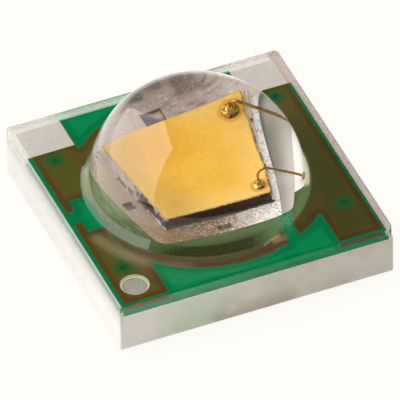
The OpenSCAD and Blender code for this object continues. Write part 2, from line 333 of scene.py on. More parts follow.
def tube(path, radius, side, count=20):
    """Round wire on a path in an upright plane: at each point a circle in the plane of the path's normal
    and of the fixed sideways direction."""
    along = np.gradient(path, axis=0)
    along /= np.linalg.norm(along, axis=1, keepdims=True)
    normal = np.cross(side, along)
    a = np.linspace(0, 2 * math.pi, count, endpoint=False)[None, :, None]
    return skin(path[:, None] + radius * (np.cos(a) * normal[:, None] + np.sin(a) * side))


def marked(part, mark):
    """A part whose faces all have one material number."""
    return part[0], part[1], [mark] * len(part[2])


def piece(name, parts, materials, replaces, angle=40):
    """One object from parts of points, faces and material numbers, in millimetres. Its normals are made to
    face outwards, and edges sharper than the angle stay sharp."""
    points, faces, kinds, start = [], [], [], 0
    for part_points, part_faces, part_kinds in parts:
        points.append(part_points)
        faces += [[start + i for i in face] for face in part_faces]
        kinds += part_kinds
        start += len(part_points)
    mesh = bpy.data.meshes.new(name)
    mesh.from_pydata((np.concatenate(points) * MM).tolist(), [], faces)
    for material in materials:
        mesh.materials.append(material)
    mesh.polygons.foreach_set("material_index", kinds)
    shell = bmesh.new()
    shell.from_mesh(mesh)
    bmesh.ops.recalc_face_normals(shell, faces=shell.faces)
    shell.to_mesh(mesh)
    shell.free()
    mesh.shade_smooth()
    mesh.set_sharp_from_angle(angle=math.radians(angle))
    made = bpy.data.objects.new(name, mesh)
    bpy.context.scene.collection.objects.link(made)
    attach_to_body(made, "root")
    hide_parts(*replaces)


def inside(points, loop):
    """Which points lie inside a closed loop: a ray to the right crosses it an odd number of times."""
    x, y = points[:, 0, None], points[:, 1, None]
    ax, ay = loop[:, 0], loop[:, 1]
    bx, by = np.roll(ax, -1), np.roll(ay, -1)
    spans = (ay > y) != (by > y)
    with np.errstate(divide="ignore", invalid="ignore"):
        cut = ax + (y - ay) * (bx - ax) / (by - ay)
    return (spans & (x < cut)).sum(1) % 2 == 1


def gap_to(points, loop):
    """Distance from each point to the nearest edge of a closed loop."""
    a, b = loop, np.roll(loop, -1, axis=0)
    ab = b - a
    t = ((points[:, None] - a) * ab).sum(-1) / np.maximum((ab * ab).sum(-1), 1e-12)
    near = a + np.clip(t, 0, 1)[..., None] * ab
    return np.linalg.norm(points[:, None] - near, axis=-1).min(1)


def sheet(outer, holes, top, bottom, spacing, extra):
    """A thin sheet with openings: the plan is filled with triangles over a square grid between its edges
    and over some extra points, and the two functions of the plan give the height of its upper and lower
    faces. Upright faces join them round every edge."""
    loops = [outer] + [hole[::-1] for hole in holes]
    clear = spacing * 0.4
    reach = np.abs(outer).max()
    axis = np.arange(-reach, reach, spacing) + spacing / 2
    grid = np.stack(np.meshgrid(axis, axis), -1).reshape(-1, 2)
    grid = grid[np.linalg.norm(grid[:, None] - extra, axis=-1).min(1) > clear]
    grid = np.concatenate([grid, extra])
    keep = inside(grid, outer) & (gap_to(grid, outer) > clear)
    for hole in holes:
        keep &= ~inside(grid, hole)
    grid = grid[keep]
    for hole in holes:
        grid = grid[gap_to(grid, hole) > clear]
    flat = np.concatenate(loops + [grid])
    edges, start = [], 0
    for loop in loops:
        index = np.arange(len(loop)) + start
        edges += np.stack([index, np.roll(index, -1)], -1).tolist()
        start += len(loop)
    found = delaunay_2d_cdt(flat.tolist(), edges, [], 1, 1e-7, True)
    plan = np.array([v[:] for v in found[0]])
    source = {old: new for new, olds in enumerate(found[3]) for old in olds}
    triangles = np.array([face for face in found[2] if len(face) == 3])
    middle = plan[triangles].mean(1)
    solid = inside(middle, outer)
    for hole in holes:
        solid &= ~inside(middle, hole)
    triangles = triangles[solid]
    count = len(plan)
    points = np.concatenate([lift(plan, top(plan)), lift(plan, bottom(plan))])
    faces = triangles.tolist() + (triangles[:, ::-1] + count).tolist()
    start = 0
    for loop in loops:
        index = np.array([source[i] for i in range(start, start + len(loop))])
        beside = np.roll(index, -1)
        faces += np.stack([beside, index, index + count, beside + count], -1).tolist()
        start += len(loop)
    return points, faces, [0] * len(faces)


def plate(lowest, highest, corner, edge):
    """A thin plate between two corners of its box, with rounded corners: its outline carried up from the
    lower face over a rounded edge to the upper face."""
    half, middle = (highest - lowest) / 2, (lowest + highest) / 2
    z0, z1 = lowest[2], highest[2]
    turn = np.linspace(0, math.pi / 2, 4)
    insets = np.concatenate([edge * (1 - np.sin(turn)), [0.0], edge * (1 - np.cos(turn))])
    heights = np.concatenate([z0 + edge * (1 - np.cos(turn)), [z1 - edge], z1 - edge * (1 - np.sin(turn))])
    outlines = (rounded(half[0], half[1], corner, inset, 12, 6) + middle[:2] for inset in insets)
    return skin(np.array([lift(outline, h) for outline, h in zip(outlines, heights)]))


# Materials


class Field:
    """An output of a node. Arithmetic on it adds the nodes that work the result out."""

    def __init__(self, graph, socket):
        self.graph, self.socket = graph, socket

    def __add__(self, other):
        return self.graph.math("ADD", self, other)

    def __sub__(self, other):
        return self.graph.math("SUBTRACT", self, other)

    def __rsub__(self, other):
        return self.graph.math("SUBTRACT", other, self)

    def __mul__(self, other):
        return self.graph.math("MULTIPLY", self, other)

    def __truediv__(self, other):
        return self.graph.math("DIVIDE", self, other)

    def __abs__(self):
        return self.graph.math("ABSOLUTE", self)


class Graph:
    """A short way to add nodes to a tree and join them."""

    def __init__(self, tree):
        self.tree = tree

    def put(self, socket, value):
        """Joins an output to a socket, or sets the socket's own value. A colour in whole numbers is a
        screen colour."""
        if isinstance(value, Field):
            self.tree.links.new(value.socket, socket)
        elif isinstance(value, tuple) and socket.type == "RGBA":
            screen = all(isinstance(v, int) for v in value)
            socket.default_value = (*(srgb(*value) if screen else value), 1)
        else:
            socket.default_value = value

    def add(self, kind, settings=None, **inputs):
        """A node with settings, and inputs by name or by number. Returns its outputs by name and number."""
        node = self.tree.nodes.new(kind)
        for key, value in (settings or {}).items():
            setattr(node, key, value)
        for key, value in inputs.items():
            place = int(key[1:]) if key[0] == "i" and key[1:].isdigit() else key.replace("_", " ")
            self.put(node.inputs[place], value)
        named = {socket.name: Field(self, socket) for socket in reversed(node.outputs)}
        return named | {k: Field(self, socket) for k, socket in enumerate(node.outputs)}

    def math(self, operation, a, b=0.0, c=0.0, clamp=False):
        return self.add("ShaderNodeMath", {"operation": operation, "use_clamp": clamp}, i0=a, i1=b, i2=c)[0]

    def vector(self, operation, a, b=(0.0, 0.0, 0.0), scale=1.0):
        """A vector worked out from others, or their length, distance or product as one number."""
        outputs = self.add("ShaderNodeVectorMath", {"operation": operation}, i0=a, i1=b, i3=scale)
        return outputs["Value" if operation in ("LENGTH", "DISTANCE", "DOT_PRODUCT") else "Vector"]

    def mix(self, factor, a, b, blend="MIX"):
        """The first colour, turned into the second as the factor rises."""
        settings = {"data_type": "RGBA", "blend_type": blend}
        return self.add("ShaderNodeMix", settings, i0=factor, i6=a, i7=b)[2]

    def stain(self, factor, colour, by):
        """A colour multiplied by another as the factor rises."""
        return self.mix(factor, colour, self.mix(1.0, colour, by, "MULTIPLY"))

    def smooth(self, value, start, end, first=0.0, last=1.0):
        """first before start, last after end, and a smooth step between."""
        limits = {"From_Min": start, "From_Max": end, "To_Min": first, "To_Max": last}
        return self.add("ShaderNodeMapRange", {"interpolation_type": "SMOOTHSTEP"}, Value=value, **limits)[0]

    def noise(self, position, scale, detail=2.0, roughness=0.5, stretch=None):
        if stretch is not None:
            position = self.vector("MULTIPLY", position, stretch)
        inputs = {"Vector": position, "Scale": scale, "Detail": detail, "Roughness": roughness}
        return self.add("ShaderNodeTexNoise", **inputs)[0]

    def parts(self, vector):
        """The three numbers of a vector."""
        numbers = self.add("ShaderNodeSeparateXYZ", i0=vector)
        return numbers[0], numbers[1], numbers[2]

    def place(self):
        """Object coordinates in millimetres, and their three numbers."""
        at = self.vector("SCALE", self.add("ShaderNodeTexCoord")["Object"], scale=1 / MM)
        return at, *self.parts(at)

    def ramp(self, value, stops):
        """A colour ramp over stops of place and colour."""
        colour = self.add("ShaderNodeValToRGB", Fac=value)[0]
        marks = colour.socket.node.color_ramp.elements
        while len(marks) < len(stops):
            marks.new(0.5)
        for mark, (place, tone) in zip(marks, stops):
            mark.position, mark.color = place, (*srgb(*tone), 1)
        return colour

    def blend(self, factor, first, second):
        """The first shader, turned into the second as the factor rises."""
        return self.add("ShaderNodeMixShader", i0=factor, i1=first, i2=second)[0]

    def surface(self, shader):
        """Makes a shader the material's surface."""
        self.put(self.tree.nodes["Material Output"].inputs["Surface"], shader)

    def rectangle(self, at, x, y, half_x, half_y):
        """Signed distance to a rectangle about a point of the plan."""
        return self.group(rectangle_distance(), Position=at, X=x, Y=y, Half_X=half_x, Half_Y=half_y)[0]

    def disc(self, at, x, y, radius=0.0):
        """Signed distance to a disc, or with no radius the distance to its centre."""
        return self.group(disc_distance(), Position=at, X=x, Y=y, Radius=radius)[0]

    def grained(self, at, colour, scale, amount):
        """A colour with grain, the mask of the brightest grains and the height for a bump."""
        made = self.group(grain(), Position=at, Color=colour, Scale=scale, Amount=amount)
        return made[0], made[1], made[2]

    def group(self, tree, **inputs):
        return self.add("ShaderNodeGroup", {"node_tree": tree}, **inputs)


def group(name, inputs, outputs, build):
    """A node group with named inputs, as name, kind and value, and named outputs. build gets the graph and
    the inputs and returns the outputs in order."""
    if name in bpy.data.node_groups:
        return bpy.data.node_groups[name]
    tree = bpy.data.node_groups.new(name, "ShaderNodeTree")
    for label, kind, value in inputs:
        socket = tree.interface.new_socket(label, in_out="INPUT", socket_type="NodeSocket" + kind)
        if value is not None:
            socket.default_value = (*value, 1) if kind == "Color" else value
    for label, kind in outputs:
        tree.interface.new_socket(label, in_out="OUTPUT", socket_type="NodeSocket" + kind)
    g = Graph(tree)
    result = build(g, g.add("NodeGroupInput"))
    leave = tree.nodes.new("NodeGroupOutput")
    for socket, value in zip(leave.inputs, result):
        g.put(socket, value)
    return tree


def position_and(*names):
    """Inputs of a group: a position, and numbers of the given names."""
    return [("Position", "Vector", None)] + [(name, "Float", 0.0) for name in names]


def rectangle_distance():
    """Signed distance to a rectangle: the greater of how far the point lies past it in X and in Y, negative
    inside."""

    def build(g, v):
        x, y, _ = g.parts(v["Position"])
        return [g.math("MAXIMUM", abs(x - v["X"]) - v["Half X"], abs(y - v["Y"]) - v["Half Y"])]

    inputs = position_and("X", "Y", "Half X", "Half Y")
    return group("Rectangle distance", inputs, [("Distance", "Float")], build)


def disc_distance():
    """Signed distance to a disc: the distance from its centre in plan, less its radius."""

    def build(g, v):
        centre = g.add("ShaderNodeCombineXYZ", X=v["X"], Y=v["Y"])[0]
        flat = g.vector("MULTIPLY", v["Position"], (1.0, 1.0, 0.0))
        return [g.vector("DISTANCE", flat, centre) - v["Radius"]]

    return group("Disc distance", position_and("X", "Y", "Radius"), [("Distance", "Float")], build)


def copper_rectangles(board):
    """Rectangles of the copper's plan, as centre and half size: the strip along each side, and the cuts,
    which are the gap between the traces, the side slot and the slot's wide part."""
    strip, slot, tab = board.strip_width / MM, board.slot_depth / MM, board.tab_width / MM
    slot_y = -COPPER_SHIFT
    return (COPPER_HALF - strip / 2, 0.0, strip / 2, COPPER_HALF), (
        (GAP_X, 0.0, GAP_HALF, 3.0),
        (slot / 2 - COPPER_HALF, slot_y, slot / 2, board.slot_gap / MM / 2),
        ((slot + tab) / 2 - COPPER_HALF, slot_y, (slot - tab) / 2, board.slot_height / MM / 2),
    )


def copper_distance(board):
    """Signed distance to the copper below the mask: a disc joined to a strip along each side, cut to the
    copper's square, less the gap between the traces and less the side slot. Smooth minimum and maximum round
    the corners that etching rounds."""

    def build(g, v):
        strip, cuts = copper_rectangles(board)
        position = g.vector("SUBTRACT", v["Position"], (0.0, COPPER_SHIFT, 0.0))
        strips = g.rectangle(g.vector("ABSOLUTE", position), *strip)
        disc = g.disc(position, 0.0, 0.0, board.field_radius / MM)
        square = g.rectangle(position, 0.0, 0.0, COPPER_HALF, COPPER_HALF)
        shape = g.math("MAXIMUM", g.math("SMOOTH_MIN", disc, strips, ROUND), square)
        for cut in cuts:
            shape = g.math("SMOOTH_MAX", shape, g.rectangle(position, *cut) * -1.0, ROUND)
        return [shape]

    return group("Copper distance", position_and(), [("Distance", "Float")], build)


def copper_gap(plan, board):
    """Signed distance to the copper at each point of the plan, as the node group of that name works it
    out."""
    x, y = plan[:, 0], plan[:, 1] - COPPER_SHIFT
    strip, cuts = copper_rectangles(board)

    def box(px, cx, cy, half_x, half_y):
        return np.maximum(np.abs(px - cx) - half_x, np.abs(y - cy) - half_y)

    def softly(a, b):
        return np.maximum(a, b) + np.clip(ROUND - np.abs(a - b), 0, None) ** 3 / (6 * ROUND**2)

    shape = -softly(board.field_radius / MM - np.hypot(x, y), -box(np.abs(x), *strip))
    shape = np.maximum(shape, box(x, 0, 0, COPPER_HALF, COPPER_HALF))
    for cut in cuts:
        shape = softly(shape, -box(x, *cut))
    return shape


def grain():
    """Fine grain: a colour turned lighter and darker by two sizes of noise, with a mask of the few brightest
    grains and a height for a bump."""

    def build(g, v):
        fine = g.noise(v["Position"], v["Scale"], 3.0, 0.6)
        coarse = g.noise(v["Position"], v["Scale"] * 0.15, 2.0)
        both = fine * 0.7 + coarse * 0.3
        colour = g.vector("SCALE", v["Color"], scale=(both - 0.5) * v["Amount"] + 1.0)
        return [colour, g.smooth(fine, 0.62, 0.72), both]

    inputs = [
        ("Position", "Vector", None), ("Color", "Color", (1, 1, 1)), ("Scale", "Float", 20.0),
        ("Amount", "Float", 0.3),
    ]
    return group("Grain", inputs, [("Color", "Color"), ("Sparks", "Float"), ("Height", "Float")], build)


def arc_band():
    """A soft arc round a centre: full on a ring of the given radius and width, and only between two
    directions from that centre."""

    def build(g, v):
        centre = g.add("ShaderNodeCombineXYZ", X=v["X"], Y=v["Y"])[0]
        flat = g.vector("MULTIPLY", g.vector("SUBTRACT", v["Position"], centre), (1.0, 1.0, 0.0))
        ring = abs(g.vector("LENGTH", flat) - v["Radius"])
        band = g.math("SUBTRACT", 1.0, ring / v["Width"], clamp=True)
        band = band * band * (3.0 - band * 2.0)
        direction = {"X": g.math("COSINE", v["Direction"]), "Y": g.math("SINE", v["Direction"])}
        toward = g.add("ShaderNodeCombineXYZ", **direction)[0]
        facing = g.vector("DOT_PRODUCT", g.vector("NORMALIZE", flat), toward)
        edge = g.math("COSINE", v["Spread"])
        side = g.math("DIVIDE", facing - edge, 1.0 - edge, clamp=True)
        return [band * g.smooth(side, 0.0, 0.35)]

    names = ("X", "Y", "Radius", "Width", "Direction", "Spread")
    return group("Arc band", position_and(*names), [("Mask", "Float")], build)


def material(name, build, **values):
    """A material whose Principled shader takes the values set here, and whose build function adds nodes for
    the rest."""
    made = bpy.data.materials.new(name)
    made.use_nodes = True
    g = Graph(made.node_tree)
    shader = made.node_tree.nodes["Principled BSDF"]
    for key, value in values.items():
        g.put(shader.inputs[key.replace("_", " ")], value)
    build(g, shader)
    return made


def bump(g, shader, height, strength, distance):
    """A bump of a height in millimetres on the shader's normal."""
    node = g.add("ShaderNodeBump", Strength=strength, Distance=distance * MM, Height=height)
    g.put(shader.inputs["Normal"], node[0])


def coat(g, shader, colour, height, strength, distance=0.004):
    """The shader's colour, and a bump."""
    g.put(shader.inputs["Base Color"], colour)
    bump(g, shader, height, strength, distance)


def dress(node, made):
    """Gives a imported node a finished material."""
    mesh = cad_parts[node].data
    mesh.materials.clear()
    mesh.materials.append(made)


def chip_outline(g, at):
    """Signed distance to the phosphor layer's outline."""
    middle, half = (GLOW_LOW + GLOW_HIGH) / 2, (GLOW_HIGH[0] - GLOW_LOW[0]) / 2
    return g.rectangle(at, middle[0], middle[1], half, half)


def ceramic_material(board):
    """Sintered ceramic: nearly white with a fine grain. It is grey in the gap between the traces, with a
    painted shadow line along the gap's left side, and has painted shade on the floors of the windows, below
    the film, on the front and left faces and on the right margin of its upper face. It has painted green
    light below the mask's edge, and is brownish at the sawn lower edge in front."""

    def sides(g, colour, at, x, y, z):
        """Colours of the upright faces in front and on the left: painted green light below the mask, green
        chips and brown near the foot, a green wash, and painted shade below the film and over the whole front
        and left faces, the front darker towards the right.
        """
        cloud, patch = g.noise(at, 2.4, 3.0), g.noise(at, 9.0, 3.0, 0.6)
        front, left = (g.smooth(v, -AT_SIDE[0], -AT_SIDE[1]) for v in (y, x))
        rough_z = z + (patch - 0.5) * 0.22
        # Painted green light that the translucent ceramic carries down from the mask, near the front's left
        green_light_reach = g.disc(at, -0.75, -1.725) + (patch - 0.5) * 0.5
        green = g.smooth(green_light_reach, 0.62, 0.2) * g.smooth(rough_z, 0.6, 0.2, 0.5, 1.0) * front
        colour = g.stain(green * 0.6, colour, (196, 232, 200))
        chips = g.smooth(g.noise(at, 14.0, 4.0, 0.7, (1.0, 1.0, 2.0)), 0.56, 0.62) * g.smooth(z, 0.05, 0.02)
        beside_pads = g.smooth(abs(abs(x + 0.02) - 0.92), 0.36, 0.2)
        colour = g.mix(chips * beside_pads * front, colour, (20, 120, 74))
        wash = g.smooth(cloud, 0.42, 0.6) * front * g.smooth(x, -0.6, 0.4, 0.0, 0.3)
        colour = g.stain(wash, colour, (212, 226, 200))
        brown = g.smooth(rough_z, 0.3, 0.06) * (front * g.smooth(abs(x + 0.05), 0.62, 0.45))
        colour = g.stain(brown * 0.55, colour, (214, 188, 178))
        # Painted shade below the film on the left face
        below_film = g.smooth(rough_z, 0.3, 0.54) * left
        colour = g.stain(below_film * 0.5, colour, (206, 206, 198))
        # Painted shade: the front face darker, more so towards the right, and the left face a little darker
        # towards the back
        colour = g.stain(front, colour, g.mix(g.smooth(x, -0.7, 0.1), (236, 236, 234), (223, 221, 216)))
        return g.stain(left, colour, g.mix(g.smooth(y, -1.4, 0.6), (248, 252, 254), (238, 242, 245)))

    def top(g, colour, at, x, y, z):
        """Colours of the upper face: painted shade on its right margin, its back margin, the gap between the
        traces with a painted shadow line along the gap's left side, and painted shade on the floors of the
        windows."""
        over = g.smooth(z, *ON_TOP)
        # Painted shade on the right margin of the upper face
        colour = g.mix(over * g.smooth(x, 1.6, 1.63), colour, (196, 180, 172))
        behind = over * g.smooth(y, 1.6, 1.63) * g.smooth(abs(x + 0.2), 1.1, 0.7)
        colour = g.mix(behind, colour, (196, 212, 196))
        nearer = g.smooth(y, 0.1, -0.1)
        grey = g.mix(nearer, (146, 136, 124), (176, 168, 158))
        grey = g.mix(g.smooth(x, 0.575, 0.68), grey, (202, 194, 183))
        grey = g.mix(g.smooth(y, 0.3, 0.6, 0.0, 0.8), grey, (204, 196, 182))
        # Painted shadow line along the gap's left side
        gap_shadow_line = g.mix(nearer, (118, 124, 116), (176, 172, 164))
        grey = g.mix(g.smooth(x, GAP_X - 0.085, GAP_X - 0.045), gap_shadow_line, grey)
        gap = g.rectangle(at, GAP_X, 0.0, GAP_HALF, 0.9)
        colour = g.mix(g.smooth(gap, 0.01, 0.0) * over, colour, grey)
        # Painted shade on the window floors: dark in the front and left windows, darkest at the front of the
        # back window, and darker on its left than its right
        lit = g.mix(g.smooth(x, 0.0, 0.05), (136, 112, 94), (208, 184, 166))
        far = g.mix(g.smooth(y + x * 0.5, 0.705, 0.745), (40, 24, 14), lit)
        floor = g.mix(g.smooth(y, 0.5, 0.6), (92, 94, 82), far)
        for window in WINDOWS:
            hole = g.rectangle(at, *window, WINDOW_HALF, WINDOW_HALF)
            colour = g.mix(g.smooth(hole, 0.01, 0.0) * over, colour, floor)
        return colour

    def build(g, shader):
        at, x, y, z = g.place()
        colour, _, height = g.grained(at, tuple(board.ceramic), 26.0, 0.14)
        colour = top(g, sides(g, colour, at, x, y, z), at, x, y, z)
        coat(g, shader, colour, height, 0.4)

    return material("ceramic", build, Roughness=0.55)


def field_colour(g, at, x, y, speck, silver):
    """Plating round the chip, coloured with painted reflection and shade: brown in front, grey behind and
    white at the right. Towards the back it has painted dark streaks that reflect the field's far edge, a
    painted shadow line along that edge and painted shade in the left corner, and behind the chip a painted
    yellow glow of the phosphor's light."""
    along = (x + 0.73 + (g.noise(at, 5.0, 3.0) - 0.5) * 0.3) / 1.28
    # Painted reflection and shade of the plating: brown in front of the chip, grey behind it and white at its
    # right
    front, back = g.ramp(along, FIELD_FRONT_SHADING), g.ramp(along, FIELD_BACK_SHADING)
    tone = g.mix(g.smooth(y, -0.3, -0.42), g.ramp((y + 0.6) / 1.3, FIELD_SIDE_SHADING), front)
    tone = g.mix(g.smooth(y, 0.55, 0.68), tone, back)
    right = g.smooth(x, 0.49, 0.51) * g.smooth(y, 0.66, 0.5)
    tone = g.mix(right, tone, g.mix(g.smooth(speck, 0.38, 0.52), (206, 196, 192), (246, 242, 238)))
    colour = g.mix(g.smooth(g.disc(at, 0.0, 0.0, 1.1), 0.1, 0.0), silver, tone)
    # Painted reflection of the field's far edge: a darker patch and dark streaks towards the back
    painted_reflection = g.disc(at, 0.24, 0.81)
    colour = g.mix(g.smooth(painted_reflection, 0.1, 0.03, 0.0, 0.8), colour, (120, 106, 94))
    streak_noise = g.noise(at, 13.0, 5.0, 0.7, (1.0, 4.0, 1.0))
    marks = g.smooth(streak_noise, 0.5, 0.6) * g.smooth(painted_reflection, 0.3, 0.08)
    colour = g.mix(marks * 0.6, colour, (96, 84, 74))
    # Painted shadow: a thin dark line along the field's back edge
    edge_shadow = g.smooth(y, 0.792, 0.806) * g.smooth(abs(x + 0.03), 0.06, 0.02)
    colour = g.mix(edge_shadow * 0.85, colour, (88, 88, 70))
    # Painted shade, tinted green, in the field's back left corner
    corner = g.disc(at, -0.66, 0.74)
    colour = g.mix(g.smooth(corner, 0.12, 0.03, 0.0, 0.8), colour, (88, 96, 78))
    # Painted glow: yellow light from the phosphor on the plating behind the chip
    glow = g.smooth(chip_outline(g, at), 0.07, 0.04) * g.smooth(abs(x), 0.4, 0.25) * g.smooth(y, 0.5, 0.6)
    return g.mix(glow * 0.7, colour, (226, 186, 104))


def dot_colour(g, at, board):
    """Colour of the polarity dot, with painted shade inside, a pale rim of painted light and a dark painted
    shadow line inside the rim, and the mask of its place.
    """
    x, y, radius = board.dot_x / MM, board.dot_y / MM, board.dot_radius / MM
    # Painted shade inside the dot and painted light on its rim
    rim = g.disc(at, x - 0.008, y - 0.02, radius - 0.021)
    tone = g.mix(g.smooth(rim, -0.006, 0.004), (166, 158, 146), (208, 208, 176))
    # Painted shadow line along the inside of the rim
    line = g.smooth(rim, -0.02, -0.004) * g.smooth(rim, 0.002, -0.004)
    return g.mix(line, tone, (128, 118, 102)), g.smooth(g.disc(at, x, y, radius + 0.02), 0.0, -0.005)


def plating_material(name, board, place=""):
    """Plated copper with a fine grain and small dark pits, its brightest grains painted as glints. The field
    round the chip has its own colours of painted reflection and shade and coarse grains with painted glints
    in front, the land of the wires is white, and the polarity dot is darker with painted shade."""

    def build(g, shader):
        at, x, y, _ = g.place()
        speck = g.noise(at, 60.0, 2.0, 0.7)
        base, amount = tuple(board.silver), 0.5
        if place == "field":
            tone, dot = dot_colour(g, at, board)
            base = g.mix(dot, field_colour(g, at, x, y, speck, base), tone)
            amount = g.smooth(y, -0.34, -0.42, 0.6, 1.6) * (1.0 - dot)
        colour, sparks, height = g.grained(at, base, 44.0, amount)
        calm = g.math("MINIMUM", amount, 1.0)
        # Painted glints on the brightest grains
        colour = g.mix(sparks * (calm * 0.6), colour, (250, 246, 238))
        colour = g.stain(g.smooth(speck, 0.38, 0.28) * calm, colour, (150, 124, 110))
        if place == "field":
            # Painted glints and dark pits in the coarse grain in front
            grit = g.smooth(y, -0.34, -0.42) * g.smooth(x, -0.4, 0.0, 0.25, 1.0)
            colour = g.mix(g.smooth(speck, 0.55, 0.64) * (grit * 0.75), colour, (250, 244, 230))
            colour = g.mix(g.smooth(speck, 0.46, 0.37) * (grit * 0.65), colour, (84, 62, 42))
        if place == "land":
            bright = g.rectangle(at, 0.85, 0.0, 0.25, 0.45)
            colour = g.mix(g.smooth(bright, 0.0, -0.02), colour, (249, 243, 235))
        coat(g, shader, colour, height, 0.5)

    return material(name, build, Metallic=0.2, Roughness=0.5)


def mask_on_copper(g, board, x, y, gap, speck, fleck, cloud):
    """Mask over the copper: olive, turning to a darker colour of painted shade towards the right and front,
    rusty towards the copper's edges, with rusty and green flecks.
    """
    depth = gap + (cloud - 0.5) * 0.3
    rust = g.smooth(depth, -0.22, 0.02, 0.0, 0.8) * g.smooth(fleck, 0.3, 0.6, 0.4, 1.0)
    rust = rust * (g.smooth(x + y, 0.8, 2.0, 1.0, 0.3) * g.smooth(x, 0.6, 1.3, 1.0, 0.6))
    rust = g.math("ADD", rust, g.smooth(speck, 0.5, 0.62) * 0.5, clamp=True)
    front_edge = g.smooth(gap, -0.16, -0.04) * (g.smooth(y, -0.9, -1.2) * g.smooth(x, 0.9, 0.6))
    rust = g.math("MAXIMUM", rust, front_edge * g.smooth(fleck, 0.35, 0.55, 0.5, 0.95))
    # Painted shade: the mask on the copper turns to the shade colour towards the right and front
    olive = g.mix(g.smooth(x - y * 0.4, 0.2, 1.5), tuple(board.mask_olive), tuple(board.mask_shade))
    olive = g.mix(g.smooth(x + y, 1.5, 2.4, 0.0, 0.8), olive, (98, 84, 42))
    return g.mix(g.smooth(speck, 0.49, 0.38) * 0.55, g.mix(rust, olive, tuple(board.mask_rust)), (44, 80, 34))


def mask_below_dome(g, at, x, y, speck, fleck, cloud):
    """Mask below the dome, fern green, with the light that the dome bends painted on: painted shade in front,
    painted light on the left with pale streaks there.
    """
    ragged = x + (fleck - 0.5) * 0.25
    near = y + (cloud - 0.5) * 0.12
    # Painted shade in front, lighter towards the back
    dark = g.mix(g.smooth(near, -1.02, -0.76), (46, 49, 28), (86, 100, 64))
    # Painted light on the left, palest towards the back
    pale = g.mix(g.smooth(y, 0.1, -0.3), (116, 132, 88), (84, 102, 60))
    fern = g.mix(g.smooth(ragged - y * 0.6, -0.38, -0.62), dark, pale)
    fern = g.mix(g.smooth(ragged, 0.08, 0.45), fern, (94, 118, 76))
    streak = g.smooth(g.noise(at, 10.0, 4.0, 0.7, (3.0, 0.8, 1.0)), 0.52, 0.68)
    streak = streak * (g.smooth(x, -0.7, -0.8) * g.smooth(y, -0.5, -0.3))
    fern = g.mix(streak * 0.6, fern, (176, 184, 146))
    return g.mix(g.smooth(speck, 0.5, 0.66) * 0.18, fern, (126, 142, 98))


